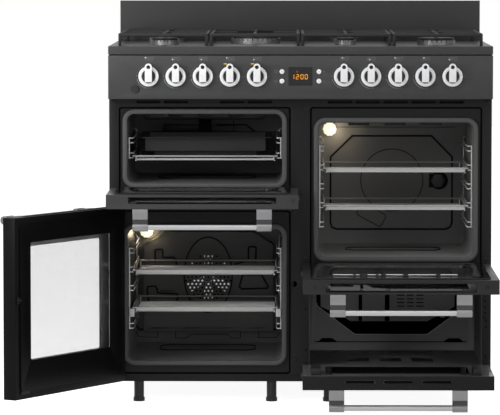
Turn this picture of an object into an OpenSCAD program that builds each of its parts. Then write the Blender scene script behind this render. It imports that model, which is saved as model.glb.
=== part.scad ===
// Range cooker with double oven: a free-standing cooker with a gas hob, a grill oven, a fan oven
// with a side-hinged door, a main oven and a storage compartment, drawn with every door open.
// Origin on the floor under the middle of the body. X to the right, Y to the back, Z up.

/* [Body] */
// Width of the body and the hob
body_w = 1000; // [960:5:1100]
// Depth from the closed doors' faces to the back
body_d = 600; // [590:5:640]
// Height of the feet under the base
foot_h = 54; // [52:1:70]
// Thickness of the folded steel sheets
sheet_t = 2; // [1.5:0.5:2.5]
// Diameter of a foot
foot_dia = 26; // [20:1:34]
// Height of the control panel
panel_h = 113; // [105:1:130]
// Height of the hob plate's turned-down lip
hob_lip = 21.5; // [18:0.5:30]
// Height of the splashback above the hob
splash_h = 110; // [80:5:200]

/* [Doors] */
// Height of the stack of doors
doors_h = 736.5; // [730:2:780]
// Height of the fan oven's door
fan_door_h = 457.5; // [450:1:465]
// Height of the storage door
storage_door_h = 257; // [250:1:265]
// Thickness of an oven door
door_t = 40; // [36:1:46]
// Gap between a door and the edge of its column
edge_gap = 5.5; // [5:0.5:8]
// Gap between the two doors of the left column
left_gap = 6.5; // [6.5:0.5:10]
// Gap between the two doors of the right column
right_gap = 9; // [8:0.5:12]
// Thickness of a glass pane
pane_t = 4; // [3:0.5:5]
// Width of the doors' windows
window_w = 350; // [250:10:380]
// Height of a door's edge below its window
window_low = 92; // [70:1:110]
// Height of a door's edge above its window
window_top = 78; // [60:1:95]
// Diameter of the hinge pins
pin_dia = 6; // [5:0.5:8]
// Angle at which a drop-down door stands open
drop_deg = 90; // [0:5:90]
// Angle at which the side-hinged door stands open
swing_deg = 121.5; // [90:0.5:125]

/* [Handles] */
// Length over both handle brackets
handle_len = 354; // [250:2:400]
// Diameter of the handle bar
bar_dia = 15; // [12:1:18]
// Width of a handle bracket
bracket_w = 39; // [30:1:50]
// Distance from a door's face to the handle bar's centre
handle_out = 47; // [38:1:50]

/* [Ovens] */
// Width inside each oven
cavity_w = 404; // [380:2:420]
// Depth inside each oven
cavity_d = 418; // [400:2:440]
// Height inside the grill oven
grill_cav_h = 181; // [160:1:200]
// Height inside the fan oven
fan_cav_h = 346; // [320:1:360]
// Height inside the main oven
main_cav_h = 352; // [330:1:370]
// Radius of the ovens' mouth corners
cavity_r = 18; // [12:1:30]
// Width of an oven's door gasket
seal_w = 13; // [10:1:15]
// Diameter of the shelf and rack wires
wire_dia = 5; // [4:0.5:6]
// Depth of a wire shelf
shelf_d = 350; // [300:5:370]

/* [Hob and controls] */
// Distance between the columns of burners
burner_pitch = 239; // [230:1:250]
// Diameter of a control knob's ring
knob_dia = 52.6; // [44:0.2:58]
// Distance between neighbouring knobs
knob_pitch = 70.4; // [62:0.2:74]
// Diameter of the clock's buttons
button_dia = 12.6; // [10:0.2:15]
// Diameter of the ignition button
ignition_dia = 18.6; // [14:0.2:22]

/* [Hidden] */

// running gap between two bodies, and around a pin in its hole
gap = 0.3;
pin_gap = 0.06;
// small overlap that joins two shapes of one solid, and overshoot of a cut
eps = 0.5;

// planes from front to back
face_y = -body_d / 2;
seal_gap = 6;
frame_y = face_y + door_t + seal_gap;
frame_back = frame_y + sheet_t;
flange_y = frame_y + 6;
back_y = body_d / 2;

// heights of the body
base_z = foot_h;
doors_z = base_z + 6;
panel_z = doors_z + doors_h + 1.5;
panel_top = panel_z + panel_h;
lip_z = panel_top + 2.5;
hob_z = lip_z + hob_lip;

// columns and doors: the left column holds the grill and fan ovens, the right one the main oven
col_x = body_w / 4;
door_w = body_w / 2 - 2 * edge_gap;
fan_z = doors_z;
grill_z = fan_z + fan_door_h + left_gap;
grill_door_h = doors_z + doors_h - grill_z;
storage_z = doors_z;
main_z = storage_z + storage_door_h + right_gap;
main_door_h = doors_z + doors_h - main_z;

// hinges: the pins lie behind a door's face and inside its lower or left edge
hinge_in = 10;
hinge_up = 15;
hinge_y = face_y + hinge_in;
swing_x = -body_w / 2 + hinge_up;
hinge_arm_t = 2.4;
hinge_pin_in = 9;

// ovens
mouth_w = cavity_w + 2 * seal_w;
// the recess takes its share of the door's overlap on each side
recess_w = mouth_w + (door_w - mouth_w) * 24 / 59;
wall_t = 1.5;
cavity_back = flange_y + cavity_d;
grill_cav_z = grill_z + 51.5;
fan_cav_z = fan_z + 49.5;
main_cav_z = main_z + 56.5;
seal_d = flange_y - (face_y + door_t) - gap;
recess_r = 10;

// storage compartment
store_z0 = storage_z + 12;
store_z1 = storage_z + storage_door_h - 5;
store_side = 17.5;
store_w = door_w - 2 * store_side;
store_floor = storage_z + 35;
store_depth = 369;
store_back = frame_y + store_depth;
// fold of the side panels, clear of the recesses and the storage compartment
side_fold = body_w / 2 - col_x - max(recess_w, store_w) / 2 - 7;

// shelves and their racks
rack_in = 16;
rack_front = flange_y + 28;
rack_back = cavity_back - 60;
rung_d = wire_dia - 1;
rung_pitch = 12.6;
rim_in = rack_in - wire_dia / 2;
shelf_w = cavity_w - 2 * rim_in + wire_dia;
shelf_front = flange_y + 20;
shelf_wire = 3;
// heights of the lower wire of each pair of rungs above the oven's floor
main_rungs = [76, 127, 176.5, 226, 276];
fan_rungs = [81, 131, 181, 230, 280];
grill_rungs = [64.5, 104];
// a shelf's food wires lie below its rim, by this at the front and by more at the rear
wire_drop = 6;
wire_fall = 11;
runner_h = 22;
runner_w = 6;

// fan of the fan oven
fan_axis_z = fan_cav_z + fan_cav_h / 2 + 9.5;
cover_depth = 30;
cover_y = cavity_back - cover_depth;
blade_r = 72;
shaft_r = 4;

// hob
splash_t = 20;
splash_y = back_y - 24;
row_y = [-135, 125];
wok_y = -5;
support_w = burner_pitch - 4;
support_d = 478;
support_y = -5;
support_bar = 8;
support_top = hob_z + 32;
small_r = 27;
medium_r = 37;
large_r = 50;
wok_r = 66;
wok_inner_r = 22;
// each burner's column, row and radius
burners = [[-1.5, 0, medium_r], [-1.5, 1, large_r], [0.5, 0, small_r], [0.5, 1, medium_r],
    [1.5, 0, large_r], [1.5, 1, medium_r]];
head_h = 12;
wok_h = 14;
cap_h = 7;
cap_in = 3;
cup_in = 8;
wok_cup_in = 16;
cup_wall = 6;
cup_floor = 4;
cup_deep = 30;
flame_w = 2;

// controls
knob_x0 = 113;
knob_z = panel_z + 59;
knob_sign = [-1, -1, -1, -1, -1, 1, 1, 1, 1, 1];
knob_step = [4, 3, 2, 1, 0, 0, 1, 2, 3, 4];
spindle_r = 4;
display_w = 62;
display_h = 47.5;
button_x = 48;
button_dz = 12.4;
ignition_in = 70;
ignition_x = body_w / 2 - ignition_in;
ignition_z = panel_z + 25.4;
rail_r = 8;
rail_y = frame_y - rail_r;
rail_over = 30;

// ---- shared shapes ----

// block between two corners
module slab(x0, x1, y0, y1, z0, z1) translate([x0, y0, z0]) cube([x1 - x0, y1 - y0, z1 - z0]);

// flat shape in X and Z, given depth from y0 to y1
module upright(y0, y1) translate([0, y1, 0]) rotate([90, 0, 0]) linear_extrude(y1 - y0) children();

// corner points of a rounded rectangle centred on the origin
function round_rect(w, h, r, n = 5) = [for (q = [0:3]) for (i = [0:n])
    let (a = 90 * q + 90 * i / n, sx = (q == 0 || q == 3) ? 1 : -1, sy = q < 2 ? 1 : -1)
    [sx * (w / 2 - r) + r * cos(a), sy * (h / 2 - r) + r * sin(a)]];

// rounded rectangle with its lower edge on z = 0
module mouth(w, h, r) translate([0, h / 2]) polygon(round_rect(w, h, r));

// straight wire between two points, eight-sided, for wires that run along one axis
module wire_x(x0, x1, y, z, d) translate([x0, y, z]) rotate([0, 90, 0]) rotate(22.5)
    cylinder(h = x1 - x0, d = d, $fn = 8);
module wire_y(x, y0, y1, z, d) translate([x, y1, z]) rotate([90, 0, 0]) rotate(22.5)
    cylinder(h = y1 - y0, d = d, $fn = 8);
module wire_z(x, y, z0, z1, d) translate([x, y, z0]) rotate(22.5)
    cylinder(h = z1 - z0, d = d, $fn = 8);

// true round bars along the three axes
module rod_x(x0, x1, y, z, r) translate([x0, y, z]) rotate([0, 90, 0])
    cylinder(h = x1 - x0, r = r, $fn = 48);
module rod_y(x, y0, y1, z, r) translate([x, y1, z]) rotate([90, 0, 0])
    cylinder(h = y1 - y0, r = r, $fn = 48);
module rod_z(x, y, z0, z1, r) translate([x, y, z0]) cylinder(h = z1 - z0, r = r, $fn = 48);

// a closed drop-down door turned open about its pins
module dropped(z0) translate([0, hinge_y, z0 + hinge_up]) rotate([drop_deg, 0, 0])
    translate([0, -hinge_y, -z0 - hinge_up]) children();

// the closed side-hinged door turned open about its pins
module swung() translate([swing_x, hinge_y, 0]) rotate([0, 0, -swing_deg])
    translate([-swing_x, -hinge_y, 0]) children();

// ---- body ----

module base_frame() color("#2b2b2b") {
    difference() {
        union() {
            slab(-body_w / 2 + sheet_t, body_w / 2 - sheet_t, frame_back, back_y - sheet_t,
                base_z, base_z + sheet_t);
            // partition between the columns
            slab(-sheet_t / 2, sheet_t / 2, frame_back, back_y - sheet_t, base_z, panel_top - 30);
            // rails that carry the fan oven and the main oven
            for (y = [flange_y + 120, cavity_back - 60]) {
                slab(-col_x - 150, -col_x + 150, y, y + 20, base_z + eps, fan_cav_z - wall_t);
                slab(col_x - 150, col_x + 150, y, y + 20, store_z1 - eps, main_cav_z - wall_t);
            }
            storage_liner();
        }
        // room for the levelling feet's screws
        for (x = feet_x()) for (y = feet_y())
            rod_z(x, y, base_z - eps, base_z + sheet_t + eps, foot_dia / 4 + gap);
    }
}

// lining of the storage compartment: floor, two sides, roof and a rear sheet with a dipped edge
module storage_liner() {
    x0 = col_x - store_w / 2;
    x1 = col_x + store_w / 2;
    slab(x0, x1, frame_back, store_back + eps, store_floor - sheet_t, store_floor);
    for (x = [x0, x1 - sheet_t]) slab(x, x + sheet_t, frame_back, store_back + eps,
        base_z + eps, store_z1);
    slab(x0, x1, frame_back, store_back + eps, store_z1 - sheet_t, store_z1);
    upright(store_back, store_back + sheet_t) difference() {
        translate([x0, base_z + eps]) square([store_w, store_z1 - base_z - eps]);
        polygon([[x0 + 22, store_z1 - 25], [x0 + 22, store_z1 - 95], [x0 + 135, store_z1 - 165],
            [x1 - 135, store_z1 - 165], [x1 - 22, store_z1 - 95], [x1 - 22, store_z1 - 25]]);
    }
}

// places of the feet
function feet_x() = [-body_w / 2 + 76, -75, 75, body_w / 2 - 76];
function feet_y() = [frame_y + 20, back_y - 60];

module side_panel(s) {
    x = s * body_w / 2;
    f = s * side_fold;
    slab(min(x, x - s * sheet_t), max(x, x - s * sheet_t), frame_back, back_y - sheet_t,
        base_z, panel_top);
    // folded edges at the front, the back and the top
    for (y = [frame_back, back_y - 2 * sheet_t])
        slab(min(x, x - f), max(x, x - f), y, y + sheet_t, base_z + sheet_t,
            panel_top - eps);
    slab(min(x, x - f), max(x, x - f), frame_back, back_y - sheet_t,
        panel_top - sheet_t, panel_top);
}
module side_panels() color("#3c3c3c") for (s = [-1, 1]) side_panel(s);

// vent slots, the gas pipe's hole, the mains cable's entry and the stability fixings
stay_pitch = 800;
stay_z = panel_top - 55;
stay_r = 2.5;
inlet_x = body_w / 2 - 40;
inlet_z = rail_z();
inlet_r = 10.48;
inlet_len = 16;
terminal_in = 130;
terminal_up = 140;
terminal_x = -body_w / 2 + terminal_in;
terminal_z = base_z + terminal_up;
function rail_z() = knob_z - 26;

module rear_panel() color("#9a9c9e") difference() {
    union() {
        slab(-body_w / 2, body_w / 2, back_y - sheet_t, back_y, base_z, panel_top);
        // box round the mains terminals
        difference() {
            slab(terminal_x - 40, terminal_x + 40, back_y - 34, back_y - sheet_t + eps,
                terminal_z - 30, terminal_z + 30);
            slab(terminal_x - 38, terminal_x + 38, back_y - 32, back_y + eps,
                terminal_z - 28, terminal_z + 28);
        }
        slab(terminal_x - 30, terminal_x + 30, back_y - 32 - eps, back_y - 18,
            terminal_z - 10, terminal_z + 10);
    }
    for (c = [-1, 1]) for (i = [0:7]) for (k = [0:2])
        slab(c * col_x - 150 + i * 40, c * col_x - 128 + i * 40, back_y - sheet_t - eps,
            back_y + eps, panel_top - 150 + k * 16, panel_top - 142 + k * 16);
    for (s = [-1, 1]) rod_y(s * stay_pitch / 2, back_y - sheet_t - eps, back_y + eps, stay_z,
        stay_r);
    rod_y(inlet_x, back_y - sheet_t - eps, back_y + eps, inlet_z, inlet_r + 1);
    slab(terminal_x - 35, terminal_x + 35, back_y - sheet_t - eps, back_y + eps,
        terminal_z - 25, terminal_z + 25);
}

// one oven's opening in the front frame, and its folded return back to the oven's flange
module recess_inside(x, z0, h) translate([x, z0 + sheet_t])
    mouth(recess_w - 2 * sheet_t, h - 2 * sheet_t, recess_r - sheet_t);
module frame_return(x, z0, h) upright(frame_back - eps, flange_y) difference() {
    translate([x, z0]) mouth(recess_w, h, recess_r);
    recess_inside(x, z0, h);
}

grill_rec_z = grill_cav_z - seal_w - 12;
grill_rec_h = grill_cav_z + grill_cav_h + seal_w + 8 - grill_rec_z;
fan_rec_z = fan_z + 11;
fan_rec_h = fan_door_h - 22;
main_rec_z = main_cav_z - seal_w - 14;
main_rec_h = doors_z + doors_h - 19 - main_rec_z;

module front_frame() color("#333333") {
    difference() {
        upright(frame_y, frame_back) difference() {
            translate([-body_w / 2, base_z]) square([body_w, panel_top - base_z]);
            recess_inside(-col_x, grill_rec_z, grill_rec_h);
            recess_inside(-col_x, fan_rec_z, fan_rec_h);
            recess_inside(col_x, main_rec_z, main_rec_h);
            translate([col_x - store_w / 2, store_z0]) square([store_w, store_z1 - store_z0]);
            // vent slots above the doors' openings
            for (x = vent_x()) translate([x, doors_z + doors_h - 12])
                mouth(vent_w, 7.5, 3.6);
        }
        // holes for the fan door's catch and for the gas pipe
        rod_y(catch_x, frame_y - eps, frame_back + eps, catch_z, 8);
        rod_y(inlet_x, frame_y - eps, frame_back + eps, inlet_z, pipe_r + 1);
    }
    frame_return(-col_x, grill_rec_z, grill_rec_h);
    frame_return(-col_x, fan_rec_z, fan_rec_h);
    frame_return(col_x, main_rec_z, main_rec_h);
}
// centres of the vent slots from the middle of the body: four on the left, five on the right
function vent_x() = [-397, -325, -178, -106, 104, 176, 249, 322, 395];
vent_w = 64;
catch_x = -16.5;
catch_z = fan_z + fan_door_h / 2 + 22;
pipe_r = 6.5;

// folded steel fascia, open to the front frame behind it
module control_panel() color("#464646") difference() {
    slab(-body_w / 2, body_w / 2, face_y, frame_y, panel_z, panel_top);
    slab(-body_w / 2 + sheet_t, body_w / 2 - sheet_t, face_y + sheet_t, frame_y + eps,
        panel_z + sheet_t, panel_top - sheet_t);
    for (i = [0:9]) rod_y(knob_x(i), face_y - eps, face_y + sheet_t + eps, knob_z,
        spindle_r + 2);
    slab(-display_w / 2, display_w / 2, face_y - eps, face_y + sheet_t + eps,
        knob_z - display_h / 2, knob_z + display_h / 2);
    for (i = [0:3]) rod_y(timer_x(i), face_y - eps, face_y + sheet_t + eps, timer_z(i),
        button_dia / 2 + gap);
    rod_y(-ignition_x, face_y - eps, face_y + sheet_t + eps, ignition_z,
        ignition_dia / 2 + gap);
}
function knob_x(i) = knob_sign[i] * (knob_x0 + knob_step[i] * knob_pitch);
function timer_x(i) = (i < 2 ? -1 : 1) * button_x;
function timer_z(i) = knob_z + (i % 2 == 0 ? 1 : -1) * button_dz;

// clock: glazed window in the fascia on a housing behind it, with its two button switches
module timer_display() color("#101010") {
    difference() {
        union() {
            slab(-display_w / 2 + gap, display_w / 2 - gap, face_y - 0.6, face_y + 8,
                knob_z - display_h / 2 + gap, knob_z + display_h / 2 - gap);
            slab(-button_x - 14, button_x + 14, face_y + 8, face_y + 30, knob_z - 27, knob_z + 27);
            // board behind the fascia that the housing is screwed to
            for (s = [-1, 1]) slab(s * (button_x + 9) - 4, s * (button_x + 9) + 4,
                face_y + sheet_t, face_y + 8 + eps, knob_z - 4, knob_z + 4);
        }
        for (i = [0:3]) rod_y(timer_x(i), face_y + 8 - eps, face_y + 14, timer_z(i), 3 + gap);
    }
}

// ---- hob ----

module hob_plate() color("#404040") {
    difference() {
        // lip lower at the sides and the back, where it stands on the body
        union() {
            slab(-body_w / 2, body_w / 2, face_y, back_y, lip_z, hob_z);
            slab(-body_w / 2, body_w / 2, frame_back, back_y, panel_top, lip_z + eps);
        }
        slab(-body_w / 2 + sheet_t, body_w / 2 - sheet_t, face_y + sheet_t, back_y - sheet_t,
            panel_top - eps, hob_z - sheet_t);
        for (b = burners) rod_z(b[0] * burner_pitch, row_y[b[1]], hob_z - sheet_t - eps,
            hob_z + eps, b[2] - cup_in);
        rod_z(-burner_pitch / 2, wok_y, hob_z - sheet_t - eps, hob_z + eps, wok_r - wok_cup_in);
    }
}

module splashback() color("#444444") difference() {
    slab(-body_w / 2 + 5, body_w / 2 - 5, splash_y, splash_y + splash_t, hob_z,
        hob_z + splash_h);
    slab(-body_w / 2 + 5 + sheet_t, body_w / 2 - 5 - sheet_t, splash_y + sheet_t,
        splash_y + splash_t + eps, hob_z - eps, hob_z + splash_h - sheet_t);
}

// burner bodies: a cup under the plate, a flared head with flame slots on it
module burner_head(r, in, h, flames) {
    difference() {
        union() {
            cylinder(h = h, r = r, $fn = 64);
            translate([0, 0, -cup_deep]) cylinder(h = cup_deep + eps, r = r - in - gap, $fn = 64);
        }
        translate([0, 0, cup_floor - cup_deep]) cylinder(h = 2 * cup_deep, r = r - in - cup_wall,
            $fn = 64);
        for (a = [0:360 / flames:359]) rotate(a)
            translate([r - in - cup_wall - 6, -flame_w / 2, h / 2]) cube([r, flame_w, h]);
    }
}
module burner_heads() color("#b9babb") {
    for (b = burners) translate([b[0] * burner_pitch, row_y[b[1]], hob_z])
        burner_head(b[2], cup_in, head_h, 24);
    translate([-burner_pitch / 2, wok_y, hob_z]) {
        burner_head(wok_r, wok_cup_in, wok_h, 30);
        translate([0, 0, -cup_deep]) cylinder(h = cup_deep + head_h, r = wok_inner_r, $fn = 48);
    }
}

// enamelled caps that lie on the burner heads
module burner_caps() color("#161616") {
    for (b = burners) translate([b[0] * burner_pitch, row_y[b[1]], hob_z + head_h])
        cylinder(h = cap_h, r = b[2] - cap_in, $fn = 64);
    translate([-burner_pitch / 2, wok_y, hob_z]) {
        translate([0, 0, wok_h]) difference() {
            cylinder(h = cap_h - 1, r = wok_r - cap_in - 2, $fn = 72);
            translate([0, 0, -eps]) cylinder(h = cap_h + 1, r = wok_inner_r + 12, $fn = 48);
        }
        translate([0, 0, head_h]) cylinder(h = cap_h, r = wok_inner_r - 2, $fn = 48);
    }
}

// cast-iron support: a frame with fingers that point at the burners
module pan_support(i) color("#1c1c1c") {
    x = (i - 1.5) * burner_pitch;
    h = support_bar;
    w = support_w / 2;
    d = support_d / 2;
    difference() {
        slab(x - w, x + w, support_y - d, support_y + d, support_top - h, support_top);
        slab(x - w + h, x + w - h, support_y - d + h, support_y + d - h, support_top - h - eps,
            support_top + eps);
    }
    rows = i == 1 ? [wok_y] : row_y;
    r = i == 1 ? 48 : 18;
    for (y = rows) {
        for (s = [-1, 1]) slab(s > 0 ? x + r : x - w + h - eps, s > 0 ? x + w - h + eps : x - r,
            y - h / 2, y + h / 2, support_top - h, support_top);
    }
    // bars along the middle, broken over each burner
    stops = i == 1 ? [support_y - d + h - eps, wok_y - r, wok_y + r, support_y + d - h + eps]
        : [support_y - d + h - eps, row_y[0] - r, row_y[0] + r, row_y[1] - r, row_y[1] + r,
            support_y + d - h + eps];
    for (k = [0:2:len(stops) - 2])
        slab(x - h / 2, x + h / 2, stops[k], stops[k + 1], support_top - h, support_top);
    // bar across the middle ties the inner bar to the frame
    if (i != 1) slab(x - w + h - eps, x + w - h + eps, support_y - h / 2, support_y + h / 2,
        support_top - h, support_top);
    // feet at the corners stand on the hob
    for (sx = [-1, 1]) for (sy = [-1, 1])
        slab(x + sx * (w - h / 2) - h / 2, x + sx * (w - h / 2) + h / 2,
            support_y + sy * (d - h / 2) - h / 2, support_y + sy * (d - h / 2) + h / 2,
            hob_z, support_top - h + eps);
}
module pan_support_1() pan_support(0);
module pan_support_2() pan_support(1);
module pan_support_3() pan_support(2);
module pan_support_4() pan_support(3);

// ---- ovens ----

// enamelled oven box, open at the front, with the flange that carries the gasket
module cavity(x, z0, h, rec_z, rec_h) {
    difference() {
        union() {
            upright(flange_y, cavity_back + wall_t) translate([x, z0 - wall_t])
                mouth(cavity_w + 2 * wall_t, h + 2 * wall_t, cavity_r + wall_t);
            upright(flange_y, flange_y + wall_t) translate([x, rec_z - 6])
                mouth(recess_w + 12, rec_h + 12, 8);
        }
        upright(flange_y - eps, cavity_back) translate([x, z0]) mouth(cavity_w, h, cavity_r);
        children();
    }
}

module cavity_grill() color("#2a2a2a")
    cavity(-col_x, grill_cav_z, grill_cav_h, grill_rec_z, grill_rec_h);

module cavity_fan() color("#2a2a2a")
    cavity(-col_x, fan_cav_z, fan_cav_h, fan_rec_z, fan_rec_h) {
        rod_y(-col_x, cavity_back - eps, cavity_back + wall_t + eps, fan_axis_z, 9);
        lamp_hole(-col_x, fan_cav_z + fan_cav_h);
    }

module cavity_main() color("#2a2a2a")
    cavity(col_x, main_cav_z, main_cav_h, main_rec_z, main_rec_h)
        lamp_hole(col_x, main_cav_z + main_cav_h);

// lamp in the upper left of an oven's back wall
lamp_in = 33;
lamp_down = 38;
lamp_r = 19;
module lamp_hole(x, top) rod_y(x - cavity_w / 2 + lamp_in, cavity_back - eps,
    cavity_back + wall_t + eps, top - lamp_down, lamp_r - 4);

module oven_lamp(x, top) translate([x - cavity_w / 2 + lamp_in, 0, top - lamp_down]) {
    rod_y(0, cavity_back - 16, cavity_back, 0, lamp_r);
    rod_y(0, cavity_back - eps, cavity_back + 34, 0, lamp_r - 4 - gap);
}
module oven_lamps() color("#ece8d8") {
    oven_lamp(-col_x, fan_cav_z + fan_cav_h);
    oven_lamp(col_x, main_cav_z + main_cav_h);
}

// rubber gasket round an oven's mouth
module seal(x, z0, h) upright(flange_y - seal_d, flange_y) translate([x, z0 - seal_w])
    difference() {
        mouth(mouth_w, h + 2 * seal_w, cavity_r + seal_w);
        translate([0, seal_w]) mouth(cavity_w, h, cavity_r);
    }
module oven_seals() color("#4a4a4a") {
    seal(-col_x, grill_cav_z, grill_cav_h);
    seal(-col_x, fan_cav_z, fan_cav_h);
    seal(col_x, main_cav_z, main_cav_h);
}

// wire rack on one side wall: front post on the wall, rear post beside the rungs, and a pair of
// rungs for each shelf height
module rack(x, z0, rungs, s) {
    wall = x + s * cavity_w / 2;
    front = wall - s * wire_dia / 2;
    rear = rung_x(x, s) + s * (wire_dia + 0.5);
    in = rung_x(x, s);
    top = rungs[len(rungs) - 1] + rung_pitch;
    wire_z(front, rack_front, z0 + rungs[0] - 2, z0 + top + 2, wire_dia);
    wire_z(rear, rack_back, z0 + rungs[0] - 4, z0 + top + 10, wire_dia);
    // pegs into the wall
    for (z = [rungs[0] - 2, top + 8])
        wire_x(min(rear, wall), max(rear, wall), rack_back, z0 + z, rung_d - 1);
    for (r = rungs) for (d = [0, rung_pitch]) {
        wire_x(min(front, in), max(front, in), rack_front, z0 + r + d, rung_d - 0.4);
        wire_x(min(rear, in), max(rear, in), rack_back, z0 + r + d, rung_d - 0.4);
        wire_y(in, rack_front - rung_d / 2, rack_back + rung_d / 2, z0 + r + d, rung_d);
    }
}
function rung_x(x, s) = x + s * (cavity_w / 2 - rim_in);
module shelf_racks() color("#c9cacb") for (s = [-1, 1]) {
    rack(-col_x, grill_cav_z, grill_rungs, s);
    rack(-col_x, fan_cav_z, [for (k = [0, 2, 3, 4]) fan_rungs[k]], s);
    rack(col_x, main_cav_z, main_rungs, s);
    // fixed rail of the telescopic runner, which takes the place of the second pair of rungs
    x = runner_x(s) + s * (runner_w / 2 + gap);
    slab(min(x, x + s * rail_t), max(x, x + s * rail_t), rack_front + 3, rack_back,
        runner_z + 2, runner_z + runner_h - 3);
    for (z = [5, 14]) slab(min(x, -col_x + s * (cavity_w / 2 - 2)),
        max(x, -col_x + s * (cavity_w / 2 - 2)), rack_front, rack_front + 4, runner_z + z,
        runner_z + z + 3);
}
function runner_x(s) = -col_x + s * (shelf_w / 2 - wire_dia + runner_w / 2);
runner_z = fan_cav_z + fan_rungs[1] - 19;
rail_t = 2.2;

// dished wire shelf: a rim that runs on the rungs of both racks, and food wires from side to side
// on two side wires that hang below it from a front rail and from legs at the rear
module shelf(x, z) {
    w = shelf_w / 2;
    y0 = shelf_front;
    y1 = shelf_front + shelf_d;
    d = wire_dia;
    for (s = [-1, 1]) slab(x + s * (w - d / 2) - d / 2, x + s * (w - d / 2) + d / 2, y0, y1, z,
        z + d);
    slab(x - w, x + w, y0, y0 + d, z, z + d);
    slab(x - w + 9, x + w - 9, y0, y0 + d - 1, z - 9, z - 5);
    leg = w - d - 1.5 - 0.5;
    slab(x - leg, x + leg, y1 - 4.5, y1 - 0.5, z - 4, z);
    for (s = [-1, 1]) {
        // front legs, rear legs and their links to the rim
        slab(x + s * (w - 11) - 1.5, x + s * (w - 11) + 1.5, y0 + 0.5, y0 + 3.5, z - 8, z + 1);
        slab(x + s * leg - 1.5, x + s * leg + 1.5, y1 - 4, y1 - 1, z - wire_drop - wire_fall - 3,
            z + d - 1);
        slab(x + s * (leg + 1.5) - 3, x + s * (leg + 1.5) + 3, y1 - 4, y1 - 1, z + 0.8, z + d - 1);
    }
    translate([x, y0 + 2, z - wire_drop]) rotate([-asin(wire_fall / (shelf_d - 5)), 0, 0]) {
        for (s = [-1, 1]) slab(s * (w - 9) - 1.5, s * (w - 9) + 1.5, 0, shelf_d - 4, -4, -1);
        for (k = [0:17]) slab(-w + 8.5, w - 8.5, 6 + k * (shelf_d - 18) / 17,
            6 + k * (shelf_d - 18) / 17 + shelf_wire, -1.5, 1.5);
    }
}
// height of a shelf's rim on a rung
function rest_z(z0, rung) = z0 + rung + rung_d / 2 + gap;

module grill_shelf() color("#c9cacb") shelf(-col_x, rest_z(grill_cav_z, grill_rungs[0]));
module fan_shelf_upper() color("#c9cacb") shelf(-col_x, rest_z(fan_cav_z, fan_rungs[3]));
module fan_shelf_lower() color("#c9cacb") shelf(-col_x, runner_z + runner_h + gap);
module main_shelf_upper() color("#c9cacb") shelf(col_x, rest_z(main_cav_z, main_rungs[3]));
module main_shelf_lower() color("#c9cacb") shelf(col_x, rest_z(main_cav_z, main_rungs[1]));

// enamelled pan with a rolled rim and a well that stands on the grill oven's shelf
pan_w = 350;
pan_d = 300;
pan_h = 37;
pan_up = 14;
module grill_pan() color("#202020") {
    rim = rest_z(grill_cav_z, grill_rungs[0]);
    z = rim + pan_up;
    y0 = shelf_front + 24;
    w = pan_w / 2;
    difference() {
        union() {
            slab(-col_x - w + 16, -col_x + w - 16, y0 + 16, y0 + pan_d - 16, z, z + pan_h);
            slab(-col_x - w, -col_x + w, y0, y0 + pan_d, z + pan_h - 2, z + pan_h);
            pan_well(rim, y0 + 40, y0 + pan_d - 40, w - 40, 0, z + eps);
        }
        slab(-col_x - w + 18, -col_x + w - 18, y0 + 18, y0 + pan_d - 18, z + 2,
            z + pan_h + eps);
        pan_well(rim, y0 + 42, y0 + pan_d - 42, w - 42, 2, z + 2 + eps);
    }
}
// block whose underside follows the slope of the shelf's food wires
function wires_z(rim, y) = rim - wire_drop + 1.5 + gap
    - wire_fall * (y - shelf_front - 2) / (shelf_d - 5);
module pan_well(rim, y0, y1, w, up, top) translate([-col_x - w, 0, 0]) rotate([90, 0, 90])
    linear_extrude(2 * w) polygon([[y0, wires_z(rim, y0) + up], [y1, wires_z(rim, y1) + up],
        [y1, top], [y0, top]]);

// telescopic runners that carry the fan oven's lower shelf, each with a wide cap at its front end
module shelf_runners() color("#b0b2b4") for (s = [-1, 1]) {
    inner = runner_x(s) - s * runner_w / 2;
    wide = -col_x + s * (cavity_w / 2 - 2);
    slab(runner_x(s) - runner_w / 2, runner_x(s) + runner_w / 2, rack_front - 8, rack_back - 6,
        runner_z, runner_z + runner_h);
    slab(min(inner, wide), max(inner, wide), rack_front - 11, rack_front - 5, runner_z,
        runner_z + runner_h);
}

// cover plate in front of the fan, folded back to the oven's rear wall
module fan_cover() color("#2f2f2f") {
    w = cavity_w - 50;
    h = fan_cav_h - 75;
    x = -col_x;
    z = fan_cav_z + 35;
    difference() {
        upright(cover_y, cavity_back) translate([x, z]) cover_outline(w, h, 0);
        upright(cover_y + wall_t, cavity_back + eps) translate([x, z]) cover_outline(w, h, wall_t);
        // suction holes in front of the blade, in staggered rows
        for (j = [-7:7]) for (i = [-9:9]) {
            a = hole_pitch * (i + (j % 2 == 0 ? 0 : 0.5));
            b = hole_pitch * 0.866 * j;
            if (norm([a, b]) < suction_r) rod_hex(x + a, fan_axis_z + b, 3.2);
        }
        // slots along the lower edge let the hot air out
        for (k = [-1.5:1.5]) slab(x + k * w / 4 - 22, x + k * w / 4 + 22, cover_y - eps,
            cover_y + wall_t + eps, z + 7, z + 10);
    }
}
hole_pitch = 11;
suction_r = 62;
module rod_hex(x, z, r) translate([x, cover_y + wall_t + eps, z]) rotate([90, 0, 0])
    cylinder(h = wall_t + 2 * eps, r = r, $fn = 6);
// cover outline with both upper corners cut off, the left one beside the lamp
module cover_outline(w, h, t) polygon([[-w / 2 + t, t], [w / 2 - t, t],
    [w / 2 - t, h - 33 - t / 3], [w / 2 - 54 - t / 3, h - t], [-w / 2 + 54 + t / 3, h - t],
    [-w / 2 + t, h - 33 - t / 3]]);

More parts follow.
